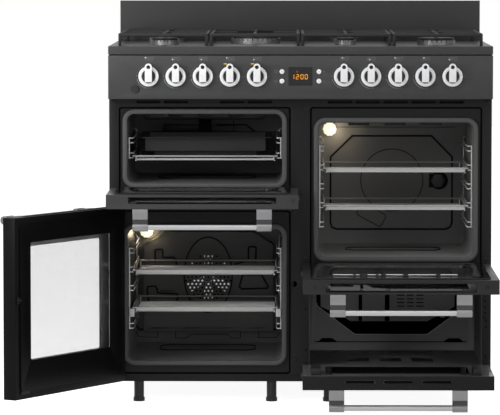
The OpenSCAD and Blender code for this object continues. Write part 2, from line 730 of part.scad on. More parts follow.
// impeller on its shaft
module fan_blade() color("#a8a9aa") {
    y0 = cover_y + 7;
    difference() {
        union() {
            rod_y(-col_x, y0 + 12, y0 + 13.5, fan_axis_z, blade_r);
            rod_y(-col_x, y0, y0 + 14, fan_axis_z, 12);
            for (k = [0:7]) translate([-col_x, 0, fan_axis_z]) rotate([0, 45 * k, 0])
                slab(24, blade_r - 2, y0, y0 + 12 + eps, -1, 1);
        }
        rod_y(-col_x, y0 - eps, y0 + 20, fan_axis_z, shaft_r + pin_gap);
    }
}
module fan_motor() color("#8d8f91") {
    rod_y(-col_x, cover_y + 8, cavity_back + wall_t + 20, fan_axis_z, shaft_r);
    rod_y(-col_x, cavity_back + wall_t, cavity_back + wall_t + 10, fan_axis_z, 30);
    rod_y(-col_x, cavity_back + wall_t + 10 - eps, cavity_back + wall_t + 52, fan_axis_z, 38);
    slab(-col_x - 60, -col_x + 60, cavity_back + wall_t, cavity_back + wall_t + 4,
        fan_axis_z - 12, fan_axis_z + 12);
}

// grill, top and ring elements: bent sheathed rods drawn square
element_t = 6.5;
element_down = 11;
grill_span = 280;
top_span = 240;
module serpentine(x, z, y0, y1, w, n) {
    p = w / n;
    for (i = [0:n]) slab(x - w / 2 + i * p - element_t / 2, x - w / 2 + i * p + element_t / 2,
        y0, y1, z, z + element_t);
    for (i = [0:n - 1]) {
        y = i % 2 == 0 ? y0 : y1 - element_t;
        slab(x - w / 2 + i * p, x - w / 2 + (i + 1) * p, y, y + element_t, z, z + element_t);
    }
    for (s = [-1, 1]) slab(x + s * w / 2 - element_t / 2, x + s * w / 2 + element_t / 2,
        y1 - eps, cavity_back, z, z + element_t);
}
module heating_elements() color("#5a5856") {
    serpentine(-col_x, grill_cav_z + grill_cav_h - element_down, flange_y + 70, cavity_back - 70,
        grill_span, 7);
    serpentine(col_x, main_cav_z + main_cav_h - element_down, flange_y + 70, cavity_back - 70,
        top_span, 5);
    // ring round the fan, with its terminals through the rear wall
    translate([-col_x, cavity_back - 8, fan_axis_z]) rotate([90, 0, 0])
        rotate_extrude($fn = 72) translate([blade_r + 14, 0]) square([element_t, element_t]);
    for (s = [-1, 1]) slab(-col_x + s * 20 - 3, -col_x + s * 20 + 3, cavity_back - 9,
        cavity_back, fan_axis_z - blade_r - 19, fan_axis_z - blade_r - 14.5);
}

// ---- gas rail, taps and switches ----

module gas_rail() color("#b08d57") {
    rod_x(knob_x(0) - rail_over, inlet_x, rail_y, inlet_z, rail_r - 1);
    // one tap or switch behind each knob
    for (i = [0:9]) difference() {
        slab(knob_x(i) - 13, knob_x(i) + 13, face_y + 12, frame_y, inlet_z - 6, knob_z + 13);
        rod_y(knob_x(i), face_y + 12 - eps, frame_y - 12, knob_z, spindle_r + pin_gap);
    }
    // feed pipe along the right side to the rear connection
    slab(inlet_x - 12, inlet_x + 12, rail_y - rail_r - 3, frame_y, inlet_z - 12, inlet_z + 12);
    rod_y(inlet_x, frame_y - eps, back_y + 1 + eps, inlet_z, pipe_r);
    rod_y(inlet_x, back_y + 1, back_y + 1 + inlet_len, inlet_z, inlet_r);
}

// ---- hinges and feet ----

module hinge_arm_x(x0, x1, z) slab(x0, x1, hinge_y - 6, frame_y, z - 6, z + 6);
// an arm on each side of a drop-down door, its pin turned inwards
module drop_hinges(x, z0) for (s = [-1, 1]) {
    door_side = x + s * door_w / 2;
    a = door_side + s * 0.8;
    b = a + s * hinge_arm_t;
    hinge_arm_x(min(a, b), max(a, b), z0 + hinge_up);
    rod_x(min(a, a - s * hinge_pin_in) - (s < 0 ? eps : 0),
        max(a, a - s * hinge_pin_in) + (s > 0 ? eps : 0), hinge_y, z0 + hinge_up, pin_dia / 2);
}
module hinge_brackets() color("#b5b7b9") {
    drop_hinges(-col_x, grill_z);
    drop_hinges(col_x, main_z);
    drop_hinges(col_x, storage_z);
    // plates under and over the side-hinged door, with pins that point into it
    for (s = [-1, 1]) {
        edge = s > 0 ? fan_z + fan_door_h : fan_z;
        a = edge + s * 0.5;
        b = a + s * hinge_arm_t;
        slab(swing_x - 8, swing_x + 8, hinge_y - 7, frame_y, min(a, b), max(a, b));
        rod_z(swing_x, hinge_y, min(a, a - s * hinge_pin_in) - (s < 0 ? eps : 0),
            max(a, a - s * hinge_pin_in) + (s > 0 ? eps : 0), pin_dia / 2);
    }
}

// levelling feet: a moulded sleeve and pad, with a screw through the base
module feet() color("#141414") for (x = feet_x()) for (y = feet_y()) {
    rod_z(x, y, 0, 10, foot_dia / 2 + 2);
    rod_z(x, y, 10 - eps, base_z, foot_dia / 2);
    rod_z(x, y, base_z - eps, base_z + sheet_t + 22, foot_dia / 4);
}

// ---- doors ----

// folded steel door shell, closed by its panes, with holes for the hinge pins
module door_shell(x, z0, h) {
    t = sheet_t;
    inner = face_y + door_t - pane_t;
    lip = 34;
    difference() {
        upright(face_y, inner) translate([x - door_w / 2, z0]) square([door_w, h]);
        upright(face_y + t, inner - t) translate([x - door_w / 2 + t, z0 + t])
            square([door_w - 2 * t, h - 2 * t]);
        upright(inner - t - eps, inner + eps) translate([x - door_w / 2 + lip, z0 + lip])
            square([door_w - 2 * lip, h - 2 * lip]);
        upright(face_y - eps, face_y + t + eps) translate([x, z0 + window_low])
            mouth(window_w, h - window_low - window_top, 6);
        // cooling slot in the top edge
        slab(x - 188, x + 188, inner - t - 21, inner - t - 4, z0 + h - t - eps, z0 + h + eps);
        children();
    }
}
module drop_door_shell(x, z0, h) door_shell(x, z0, h)
    rod_x(x - door_w / 2 - eps, x + door_w / 2 + eps, hinge_y, z0 + hinge_up,
        pin_dia / 2 + pin_gap);

// outer pane behind the window, inner pane on the shell's rear edge
module door_glass(x, z0, h) {
    upright(face_y + sheet_t, face_y + sheet_t + pane_t) translate([x, z0 + window_low - 15])
        mouth(window_w + 30, h - window_low - window_top + 30, 6);
    upright(face_y + door_t - pane_t, face_y + door_t) translate([x, z0 + 20])
        mouth(door_w - 40, h - 40, 8);
}

// bright brackets with a collar round the bar, and the bar between them
module handle(x, top) {
    z = top - 13;
    y = face_y - handle_out;
    a = handle_len / 2;
    rod_x(x - a + bracket_w / 2, x + a - bracket_w / 2, y, z, bar_dia / 2);
    for (s = [-1, 1]) {
        rod_x(x + s * (a - bracket_w / 2) - bracket_w / 2,
            x + s * (a - bracket_w / 2) + bracket_w / 2, y, z, 11);
        slab(x + s * (a - bracket_w / 2) - bracket_w / 2,
            x + s * (a - bracket_w / 2) + bracket_w / 2, y + 4, face_y, z - 8, z + 8);
        slab(x + s * (a - bracket_w / 2) - bracket_w / 2,
            x + s * (a - bracket_w / 2) + bracket_w / 2, y + 24, face_y, z - 11.5, z + 11.5);
    }
}

module grill_door_shell() color("#2c2c2c") dropped(grill_z)
    drop_door_shell(-col_x, grill_z, grill_door_h);
module grill_door_glass() color("#0d0d0d") dropped(grill_z)
    door_glass(-col_x, grill_z, grill_door_h);
module grill_door_handle() color("#c4c5c6") dropped(grill_z)
    handle(-col_x, grill_z + grill_door_h);

module main_door_shell() color("#2c2c2c") dropped(main_z)
    drop_door_shell(col_x, main_z, main_door_h);
module main_door_glass() color("#0d0d0d") dropped(main_z)
    door_glass(col_x, main_z, main_door_h);
module main_door_handle() color("#c4c5c6") dropped(main_z)
    handle(col_x, main_z + main_door_h);

// the fan oven's door carries a catch pin that enters the front frame
module fan_door_shell() color("#2c2c2c") swung() {
    door_shell(-col_x, fan_z, fan_door_h)
        for (z = [fan_z, fan_z + fan_door_h - sheet_t])
            rod_z(swing_x, hinge_y, z - eps, z + sheet_t + eps, pin_dia / 2 + pin_gap);
    rod_y(catch_x, face_y + door_t - pane_t - eps, frame_back + 2, catch_z, 4);
}
module fan_door_glass() color("#0d0d0d") swung() door_glass(-col_x, fan_z, fan_door_h);
module fan_door_handle() color("#c4c5c6") swung() handle(-col_x, fan_z + fan_door_h);

// folded steel storage door
module storage_door_panel() color("#2c2c2c") dropped(storage_z) {
    t = sheet_t;
    depth = door_t - pane_t;
    difference() {
        upright(face_y, face_y + depth) translate([col_x - door_w / 2, storage_z])
            square([door_w, storage_door_h]);
        upright(face_y + t, face_y + depth - t)
            translate([col_x - door_w / 2 + t, storage_z + t])
            square([door_w - 2 * t, storage_door_h - 2 * t]);
        for (i = [-1:1]) slab(col_x + i * 98 - 39, col_x + i * 98 + 39, face_y + depth - 18,
            face_y + depth - 10, storage_z + storage_door_h - t - eps,
            storage_z + storage_door_h + eps);
        upright(face_y + depth - t - eps, face_y + depth + eps)
            translate([col_x - door_w / 2 + 60, storage_z + 50])
            square([door_w - 120, storage_door_h - 110]);
        rod_x(col_x - door_w / 2 - eps, col_x + door_w / 2 + eps, hinge_y,
            storage_z + hinge_up, pin_dia / 2 + pin_gap);
    }
}
module storage_door_handle() color("#c4c5c6") dropped(storage_z)
    handle(col_x, storage_z + storage_door_h);

// ---- controls ----

// pointer knob: a ring round a grip bar that ends in an eye, on its spindle
module knob(i) color("#d8d8d8") translate([knob_x(i), face_y - gap, knob_z]) {
    r = knob_dia / 2;
    ring_w = 8.4;
    grip_w = 18;
    eye_z = 24.5;
    difference() {
        union() {
            rod_y(0, -12, 0, 0, r);
            slab(-grip_w / 2, grip_w / 2, -26, -eps, -14.4, eye_z);
            rod_y(0, -26, 0, eye_z, grip_w / 2 + 0.2);
        }
        difference() {
            rod_y(0, -12 - eps, -5, 0, r - ring_w);
            slab(-grip_w / 2, grip_w / 2, -30, 0, -14.4, eye_z);
        }
        rod_y(0, -26 - eps, -14, eye_z, 5.1);
    }
    rod_y(0, -4, 22, 0, spindle_r);
}
module knob_1() knob(0);
module knob_2() knob(1);
module knob_3() knob(2);
module knob_4() knob(3);
module knob_5() knob(4);
module knob_6() knob(5);
module knob_7() knob(6);
module knob_8() knob(7);
module knob_9() knob(8);
module knob_10() knob(9);

// push buttons: a cap through the fascia on a thinner stem
button_travel = 1.5;
module timer_button(i) color("#c8c8c8") {
    rod_y(timer_x(i), face_y - 3, face_y + 4, timer_z(i), button_dia / 2);
    rod_y(timer_x(i), face_y + 4 - eps, face_y + 12, timer_z(i), 3);
}
module timer_button_1() timer_button(0);
module timer_button_2() timer_button(1);
module timer_button_3() timer_button(2);
module timer_button_4() timer_button(3);

module ignition_button() color("#262626") {
    rod_y(-ignition_x, face_y - 5, face_y + 8, ignition_z, ignition_dia / 2);
    rod_y(-ignition_x, face_y + 8 - eps, frame_y - 4, ignition_z, 3);
}

// ---- assembly ----

base_frame();
side_panels();
rear_panel();
front_frame();
control_panel();
timer_display();
hob_plate();
splashback();
burner_heads();
burner_caps();
cavity_grill();
cavity_fan();
cavity_main();
oven_seals();
shelf_racks();
fan_cover();
fan_motor();
feet();
heating_elements();
oven_lamps();
gas_rail();
hinge_brackets();
fan_blade();
grill_door_shell();
grill_door_glass();
grill_door_handle();
fan_door_shell();
fan_door_glass();
fan_door_handle();
main_door_shell();
main_door_glass();
main_door_handle();
storage_door_panel();
storage_door_handle();
grill_shelf();
grill_pan();
fan_shelf_upper();
fan_shelf_lower();
shelf_runners();
main_shelf_upper();
main_shelf_lower();
pan_support_1();
pan_support_2();
pan_support_3();
pan_support_4();
knob_1();
knob_2();
knob_3();
knob_4();
knob_5();
knob_6();
knob_7();
knob_8();
knob_9();
knob_10();
timer_button_1();
timer_button_2();
timer_button_3();
timer_button_4();
ignition_button();
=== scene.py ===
import math
import bpy
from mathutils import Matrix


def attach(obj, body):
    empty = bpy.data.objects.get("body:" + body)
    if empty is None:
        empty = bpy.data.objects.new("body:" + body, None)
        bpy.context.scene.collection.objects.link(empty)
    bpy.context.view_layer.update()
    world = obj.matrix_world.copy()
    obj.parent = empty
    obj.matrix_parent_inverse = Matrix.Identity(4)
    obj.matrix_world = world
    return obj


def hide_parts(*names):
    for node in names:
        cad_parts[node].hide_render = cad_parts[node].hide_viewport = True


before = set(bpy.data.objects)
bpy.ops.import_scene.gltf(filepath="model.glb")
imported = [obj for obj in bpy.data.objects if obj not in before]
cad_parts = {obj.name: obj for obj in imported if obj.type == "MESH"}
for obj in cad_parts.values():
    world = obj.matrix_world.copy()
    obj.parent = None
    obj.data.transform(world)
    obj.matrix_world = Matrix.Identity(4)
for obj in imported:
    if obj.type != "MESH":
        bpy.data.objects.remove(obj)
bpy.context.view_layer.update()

# ---------------------------------------------------------------------------------------------
# Camera and studio. A long lens stands almost ten metres off and looks slightly down at the
# cooker, which stands on a white floor in front of a white backdrop under soft boxes.
bpy.ops.object.camera_add(location=(-0.0247, -9.6524, 1.1991),
                          rotation=(math.radians(90 - 4.181), 0, math.radians(0.652)))
camera = bpy.context.object
camera.data.sensor_width = 36
camera.data.lens = 259.16
camera.data.clip_end = 60
bpy.context.scene.camera = camera
bpy.context.scene.view_settings.view_transform = "Standard"


def looked_at(tree):
    """One where a surface is seen, mirrored or looked through, nought where it lights others."""
    path = tree.nodes.new("ShaderNodeLightPath")
    found = path.outputs["Is Camera Ray"]
    for ray in ("Is Glossy Ray", "Is Transmission Ray"):
        either = tree.nodes.new("ShaderNodeMath")
        either.operation = "MAXIMUM"
        tree.links.new(found, either.inputs[0])
        tree.links.new(path.outputs[ray], either.inputs[1])
        found = either.outputs[0]
    return found


def put(node, values):
    """Sets some of a node's own sockets."""
    for socket, value in values.items():
        node.inputs[socket].default_value = value


world = bpy.data.worlds.new("studio air")
bpy.context.scene.world = world
world.use_nodes = True
air = world.node_tree
put(air.nodes["Background"], {"Color": (1, 1, 1, 1), "Strength": 0.22})
backdrop = air.nodes.new("ShaderNodeBackground")
put(backdrop, {"Color": (1, 1, 1, 1), "Strength": 1.0})
pick = air.nodes.new("ShaderNodeMixShader")
air.links.new(looked_at(air), pick.inputs["Fac"])
air.links.new(air.nodes["Background"].outputs[0], pick.inputs[1])
air.links.new(backdrop.outputs[0], pick.inputs[2])
air.links.new(pick.outputs[0], air.nodes["World Output"].inputs["Surface"])

bpy.ops.object.select_all(action="DESELECT")
bpy.ops.mesh.primitive_plane_add(size=24, location=(0, 2.0, -0.0005))
floor = bpy.context.object
floor.name = "studio_floor"
pale = bpy.data.materials.new("white studio floor")
pale.use_nodes = True
paint = pale.node_tree
matt = paint.nodes["Principled BSDF"]
put(matt, {"Base Color": (0.82, 0.82, 0.82, 1), "Roughness": 0.9, "Specular IOR Level": 0.1})
lit_up = paint.nodes.new("ShaderNodeEmission")
put(lit_up, {"Color": (0.92, 0.92, 0.92, 1)})
both = paint.nodes.new("ShaderNodeAddShader")
seen = paint.nodes.new("ShaderNodeMixShader")
paint.links.new(matt.outputs[0], both.inputs[0])
paint.links.new(lit_up.outputs[0], both.inputs[1])
paint.links.new(looked_at(paint), seen.inputs["Fac"])
paint.links.new(matt.outputs[0], seen.inputs[1])
paint.links.new(both.outputs[0], seen.inputs[2])
paint.links.new(seen.outputs[0], paint.nodes["Material Output"].inputs["Surface"])
floor.data.materials.append(pale)

for name, place, aim, size, power in (
        ("overhead box", (0.0, -1.8, 3.6), (0, 0, 0.6), (3.4, 2.2), 50),
        ("left box", (-3.4, -4.2, 2.2), (0, -0.3, 0.6), (1.6, 2.6), 45),
        ("near left box", (-1.20, -1.25, 1.15), (-0.4, -0.3, 0.8), (0.35, 0.9), 14),
        ("right box", (3.6, -4.6, 1.8), (0, -0.3, 0.6), (1.4, 2.4), 55),
        ("front box", (0.0, -7.5, 2.6), (0, -0.3, 0.5), (3.0, 1.2), 45)):
    bpy.ops.object.light_add(type="AREA", location=place)
    lamp = bpy.context.object
    lamp.name = name
    lamp.data.shape = "RECTANGLE"
    lamp.data.size, lamp.data.size_y = size
    lamp.data.energy = power
    way = [aim[i] - place[i] for i in range(3)]
    lamp.rotation_euler = (math.atan2(math.hypot(way[0], way[1]), -way[2]), 0,
                           math.atan2(way[1], way[0]) - math.pi / 2)


# ---------------------------------------------------------------------------------------------
# Carcass: a base with a partition and the lining of the storage compartment, two folded side
# panels and a zinc-coated rear panel, all of 2 mm sheet that is screwed together. The front
# parts are enamelled dark, the sides anthracite.
def finish(name, colour, rough=0.35, metal=0.0, coat=0.0, grain=900.0, relief=0.02,
           cloud=0.06, stretch=(1, 1, 1), gloss=0.2):
    """A finish with a fine grain, slow changes of colour, or of one grey, and an uneven sheen."""
    made = bpy.data.materials.new(name)
    made.use_nodes = True
    tree = made.node_tree
    skin = tree.nodes["Principled BSDF"]
    put(skin, {"Metallic": metal, "Specular IOR Level": gloss if metal < 0.5 else 0.5,
               "Coat Weight": coat, "Coat Roughness": 0.08})
    where = tree.nodes.new("ShaderNodeTexCoord")
    spread = tree.nodes.new("ShaderNodeMapping")
    spread.inputs["Scale"].default_value = stretch
    tree.links.new(where.outputs["Object"], spread.inputs["Vector"])
    slow = tree.nodes.new("ShaderNodeTexNoise")
    put(slow, {"Scale": 6.0, "Detail": 5.0})
    tree.links.new(spread.outputs[0], slow.inputs["Vector"])
    tone = tree.nodes.new("ShaderNodeValToRGB")
    shade = colour if isinstance(colour, tuple) else (colour, colour, colour)
    for end, place, share in zip(tone.color_ramp.elements, (0.3, 0.72), (1 - cloud, 1 + cloud)):
        end.position = place
        end.color = (shade[0] * share, shade[1] * share, shade[2] * share, 1)
    tree.links.new(slow.outputs["Fac"], tone.inputs["Fac"])
    tree.links.new(tone.outputs["Color"], skin.inputs["Base Color"])
    fine = tree.nodes.new("ShaderNodeTexNoise")
    put(fine, {"Scale": grain, "Detail": 3.0})
    tree.links.new(spread.outputs[0], fine.inputs["Vector"])
    sheen = tree.nodes.new("ShaderNodeMapRange")
    put(sheen, {"To Min": max(rough - 0.07, 0.02), "To Max": min(rough + 0.07, 1.0)})
    tree.links.new(slow.outputs["Fac"], sheen.inputs["Value"])
    tree.links.new(sheen.outputs["Result"], skin.inputs["Roughness"])
    bump = tree.nodes.new("ShaderNodeBump")
    put(bump, {"Strength": relief, "Distance": 0.0006})
    tree.links.new(fine.outputs["Fac"], bump.inputs["Height"])
    tree.links.new(bump.outputs["Normal"], skin.inputs["Normal"])
    return made


def dress(material, *nodes):
    """Puts one finish all over nodes of the frame."""
    for node in nodes:
        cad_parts[node].data.materials.clear()
        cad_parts[node].data.materials.append(material)


def alone(piece):
    """Leaves only this piece selected and active."""
    bpy.ops.object.select_all(action="DESELECT")
    piece.select_set(True)
    bpy.context.view_layer.objects.active = piece


def soften(piece, edge, steps=3, angle=32):
    """Rounds every sharp edge of a finished shape and shades it smooth between them."""
    alone(piece)
    if edge:
        round_off = piece.modifiers.new("rounded edges", "BEVEL")
        round_off.width = edge
        round_off.segments = steps
        round_off.limit_method = "ANGLE"
        round_off.angle_limit = math.radians(angle)
        bpy.ops.object.modifier_apply(modifier=round_off.name)
    bpy.ops.object.shade_smooth_by_angle(angle=math.radians(angle))
    return piece


def settle(piece, material, body="cooker_body", stands_for=()):
    """Gives a finished piece its material, its body and the nodes it stands for."""
    alone(piece)
    bpy.ops.object.transform_apply(location=True, rotation=True, scale=True)
    if material:
        piece.data.materials.clear()
        piece.data.materials.append(material)
    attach(piece, body)
    if stands_for:
        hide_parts(*stands_for)
    return piece


def join(name, pieces):
    """Joins pieces into one, as if spot-welded."""
    alone(pieces[0])
    for piece in pieces:
        piece.select_set(True)
    if len(pieces) > 1:
        bpy.ops.object.join()
    made = bpy.context.object
    made.name = name
    return made


def turned(radius, deep, place, sides=48, turn=(math.pi / 2, 0, 0)):
    """A round bar along Y, or along another axis where it is turned."""
    bpy.ops.object.select_all(action="DESELECT")
    bpy.ops.mesh.primitive_cylinder_add(vertices=sides, radius=radius, depth=deep, location=place,
                                        rotation=turn)
    return bpy.context.object


def choose(piece, kind, wanted):
    """Goes into edit mode with only the wanted faces or points of a piece selected."""
    bpy.ops.object.mode_set(mode="EDIT")
    bpy.ops.mesh.select_mode(type=kind)
    bpy.ops.mesh.select_all(action="DESELECT")
    bpy.ops.object.mode_set(mode="OBJECT")
    for part in piece.data.polygons if kind == "FACE" else piece.data.vertices:
        part.select = wanted(part)
    bpy.ops.object.mode_set(mode="EDIT")


def bolt_heads(name, places, dia, tall, facing="Y"):
    """Pan-head screws with a recess, all alike, facing the front or a side."""
    turn = (math.pi / 2, 0, 0) if facing == "Y" else (0, -math.pi / 2, 0)
    heads = []
    for place in places:
        head = turned(dia / 2, tall, place, 20, turn)
        choose(head, "FACE", lambda face: face.normal.z > 0.9)
        bpy.ops.mesh.inset(thickness=dia * 0.22, depth=0)
        bpy.ops.mesh.inset(thickness=dia * 0.06, depth=-tall * 0.4)
        bpy.ops.object.mode_set(mode="OBJECT")
        bpy.ops.object.transform_apply(location=True, rotation=True, scale=True)
        heads.append(head)
    return soften(join(name, heads), tall * 0.2, 2)


def eased_copy(node, name, edge, steps=3, angle=32):
    """The frame's own shape with its edges rounded, for pressed and cast parts."""
    alone(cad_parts[node])
    bpy.ops.object.duplicate()
    made = bpy.context.object
    made.name = name
    bpy.ops.object.mode_set(mode="EDIT")
    bpy.ops.mesh.select_all(action="SELECT")
    bpy.ops.mesh.remove_doubles(threshold=0.00002)
    bpy.ops.mesh.dissolve_limited(angle_limit=math.radians(3))
    bpy.ops.object.mode_set(mode="OBJECT")
    if edge:
        soften(made, edge, steps, angle)
    return made


def cut_sheet(name, outline, near, deep, across="Y"):
    """A flat sheet of any outline, upright across Y or lying across Z."""
    bpy.ops.object.select_all(action="DESELECT")
    bpy.ops.mesh.primitive_circle_add(vertices=len(outline), radius=1, fill_type="NGON")
    made = bpy.context.object
    made.name = name
    for vertex, (a, b) in zip(made.data.vertices, outline):
        vertex.co = (a, near, b) if across == "Y" else (a, b, near)
    step = (0, deep, 0) if across == "Y" else (0, 0, deep)
    bpy.ops.object.mode_set(mode="EDIT")
    bpy.ops.mesh.select_all(action="SELECT")
    bpy.ops.mesh.extrude_region_move(TRANSFORM_OT_translate={"value": step})
    bpy.ops.mesh.select_all(action="SELECT")
    bpy.ops.mesh.normals_make_consistent(inside=False)
    bpy.ops.object.mode_set(mode="OBJECT")
    return made


def carve(piece, cutters, how="DIFFERENCE"):
    """Takes the cutters' shapes out of a piece, or adds them to it."""
    for cutter in cutters:
        alone(piece)
        cut = piece.modifiers.new("cut", "BOOLEAN")
        cut.operation = how
        cut.solver = "EXACT"
        cut.object = cutter
        bpy.ops.object.modifier_apply(modifier=cut.name)
        alone(cutter)
        bpy.ops.object.delete()
    return piece


def corners(a0, a1, b0, b1):
    """The outline of an oblong."""
    return [(a0, b0), (a1, b0), (a1, b1), (a0, b1)]


def coat_by(piece, coats, which):
    """Gives a piece several finishes, and each face the one whose number which() tells."""
    piece.data.materials.clear()
    for coat in coats:
        piece.data.materials.append(coat)
    for face in piece.data.polygons:
        face.material_index = int(which(face))


anthracite = finish("anthracite satin enamel", (0.042, 0.042, 0.0425), 0.38, relief=0.03, gloss=0.15)
dark_enamel = finish("dark frame enamel", 0.0115, 0.38, relief=0.03, gloss=0.08)
liner_enamel = finish("liner enamel", 0.080, 0.4, relief=0.03, gloss=0.10)
zinc = finish("zinc-coated sheet", (0.34, 0.35, 0.36), 0.5, metal=0.9, grain=60, cloud=0.10)
# near black: the colour of the dark straps and rivets, and painted shade where it fills the void, the recess
# corners, the slots and the rib lines
black_and_painted_shade = finish("black parts and painted shade", 0.003, 0.8, gloss=0.02, relief=0.0)
dress(anthracite, "side_panels")
dress(zinc, "rear_panel", "fan_motor")

# the base with its lining: the dipped rear sheet goes lower, and the sheets are pierced
base = eased_copy("base_frame", "base_and_lining", 0)
cutters = [cut_sheet("dip", [(0.0455, 0.218), (0.0455, 0.2175), (0.150, 0.1385), (0.3475, 0.1385),
                             (0.4545, 0.2175), (0.4545, 0.218)], 0.110, 0.012),
           cut_sheet("gap", [(0.0396, 0.1165), (0.4556, 0.1165), (0.4556, 0.1190), (0.4453, 0.1201),
                             (0.4344, 0.1282), (0.4052, 0.1282), (0.3925, 0.1194), (0.1008, 0.1194),
                             (0.0881, 0.1282), (0.0607, 0.1282), (0.0516, 0.1201), (0.0396, 0.1190)],
                     0.110, 0.012)]
for x0 in (0.043, 0.130, 0.217, 0.303, 0.390):
    cutters.append(cut_sheet("slot", [(x0 + 0.004, 0.058), (x0 + 0.055, 0.058), (x0 + 0.059, 0.098),
                                      (x0, 0.098)], 0.090, 0.008, "Z"))
for x0 in (0.126, 0.212, 0.297):
    cutters.append(cut_sheet("opening", corners(x0, x0 + 0.058, -0.150, -0.040), 0.090, 0.008, "Z"))
soften(carve(base, cutters), 0)
sheet_enamel = finish("rear sheet enamel", 0.25, 0.4, relief=0.03, gloss=0.15)
coat_by(base, (liner_enamel, sheet_enamel),
        lambda face: 0.114 < face.center.y < 0.118 and face.center.x > 0)
settle(base, None, stands_for=("base_frame",))

# service plate of the storage compartment, seen over the dipped sheet, with its straps and slots
plate_grey = finish("service plate enamel", 0.50, 0.42, gloss=0.15)
service = cut_sheet("service_plate", [(0.0579, 0.292), (0.0579, 0.2011), (0.1225, 0.1716),
                                      (0.141, 0.1605), (0.3516, 0.1605), (0.3737, 0.1716),
                                      (0.4273, 0.2011), (0.4273, 0.292)], 0.250, 0.0015)
holes = []
for x0, x1 in ((0.2684, 0.2888), (0.2961, 0.3146), (0.322, 0.3423)):
    for z in (0.2325, 0.2222, 0.2122, 0.2022):
        holes.append(cut_sheet("vent", corners(x0, x1, z - 0.0015, z + 0.0015), 0.245, 0.012))
service = carve(service, holes)
stays = [cut_sheet("stay", corners(x - 0.006, x + 0.006, 0.17, 0.185), 0.251, 0.0475)
         for x in (0.09, 0.395)]
settle(soften(join("service_plate", [service] + stays), 0), plate_grey)
straps = [cut_sheet("strap", corners(x0, x1, 0.1615, 0.292), 0.2485, 0.002)
          for x0, x1 in ((0.1631, 0.1724), (0.2352, 0.2481))]
settle(soften(join("service_straps", straps), 0.0004, 2), black_and_painted_shade)
# a black sheet behind the compartment's rear: painted shade of the void behind the plate
rear_void_shade_sheet = cut_sheet("rear_void_painted_shade", corners(0.024, 0.476, 0.097, 0.309), 0.295, 0.002)
settle(soften(rear_void_shade_sheet, 0), black_and_painted_shade)
# the hem along the dipped edge, drawn as a lighter line: a painted highlight
hem_points = [(0.046, 0.224), (0.046, 0.2175), (0.1500, 0.1385), (0.3475, 0.1385),
              (0.4540, 0.2175), (0.4540, 0.224)]


def bent_wires(name, runs, dia, round_steps=3):
    """Wires bent through their points, with round ends."""
    bpy.ops.object.select_all(action="DESELECT")
    bpy.ops.curve.primitive_nurbs_path_add(location=(0, 0, 0))
    made = bpy.context.object
    made.name = name
    made.data.splines.clear()
    made.data.dimensions = "3D"
    for points in runs:
        run = made.data.splines.new("POLY")
        run.points.add(len(points) - 1)
        for knot, point in zip(run.points, points):
            knot.co = (*point, 1)
    made.data.bevel_depth = dia / 2
    made.data.bevel_resolution = round_steps
    made.data.use_fill_caps = True
    bpy.ops.object.convert(target="MESH")
    made = bpy.context.object
    bpy.ops.object.shade_smooth_by_angle(angle=math.radians(50))
    return made


def press(name, lines, y, dia, material):
    """Lines of a pressing, as beads of that thickness on an upright wall."""
    return settle(bent_wires(name, [[(x, y, z) for x, z in line] for line in lines], dia), material)


hem_painted_highlight = finish("painted hem highlight", 0.60, 0.4, gloss=0.3)
press("sheet_hem", [hem_points], 0.1148, 0.0022, hem_painted_highlight)

zinc_screw = finish("zinc screw", 0.5, 0.35, metal=1.0, grain=300)
rear_screws = bolt_heads("rear_panel_screws", [(x, 0.3012, z) for x in (-0.488, -0.17, 0.17, 0.488)
                                               for z in (0.075, 0.89)], 0.008, 0.0024, "Y")
settle(rear_screws, zinc_screw)
wall_holes = bolt_heads("liner_rivets", [(0.4748, y, z) for y, z in (
    (0.0863, 0.2456), (0.075, 0.2345), (0.0003, 0.2325), (-0.084, 0.2179), (-0.084, 0.1709),
    (0.0003, 0.1424))], 0.0055, 0.0012, "X")
settle(wall_holes, black_and_painted_shade)


# ---------------------------------------------------------------------------------------------
# Front frame: one pressed and enamelled sheet with a deep recess round each oven's mouth, vent
# slots under the fascia, raised shelf numbers and black countersunk screws that hold it to the
# carcass and each oven's flange to it.
def plate(name, x, z, w, h, corner, y, deep, rail=0.0, edge=0.0, steps=8):
    """An upright plate with rounded corners, or with a rail a frame of that width."""
    bpy.ops.object.select_all(action="DESELECT")
    bpy.ops.mesh.primitive_plane_add(size=1, location=(x, y, z), rotation=(math.pi / 2, 0, 0))
    made = bpy.context.object
    made.name = name
    made.scale = (w, h, 1)
    bpy.ops.object.transform_apply(location=True, rotation=True, scale=True)
    bpy.ops.object.mode_set(mode="EDIT")
    bpy.ops.mesh.select_all(action="SELECT")
    if corner:
        bpy.ops.mesh.bevel(offset=corner, segments=steps, affect="VERTICES")
    bpy.ops.mesh.select_mode(type="FACE")
    bpy.ops.mesh.select_all(action="SELECT")
    if rail:
        bpy.ops.mesh.inset(thickness=rail, depth=0)
        bpy.ops.mesh.delete(type="FACE")
        bpy.ops.mesh.select_all(action="SELECT")
    if deep:
        bpy.ops.mesh.extrude_region_move(TRANSFORM_OT_translate={"value": (0, deep, 0)})
        bpy.ops.mesh.select_all(action="SELECT")
        bpy.ops.mesh.normals_make_consistent(inside=False)
    bpy.ops.object.mode_set(mode="OBJECT")
    return soften(made, edge, 3)


frame_y = -0.254
pressed_front = eased_copy("front_frame", "pressed_front", 0.0007, 2)
settle(pressed_front, dark_enamel, stands_for=("front_frame",))

# black beads in the corner of each recess: the shadow line along each recess's edge, painted
recess_shadow_beads = []
for x, z0, z1 in ((-0.25, 0.5505, 0.7775), (-0.25, 0.071, 0.5065), (0.25, 0.3555, 0.7775)):
    recess_shadow_beads.append(plate("bead", x, (z0 + z1) / 2, 0.4500, z1 - z0 - 0.0042, 0.009, -0.2487, 0.0009,
                       0.0045))
settle(join("recess_painted_shadow", recess_shadow_beads), black_and_painted_shade)

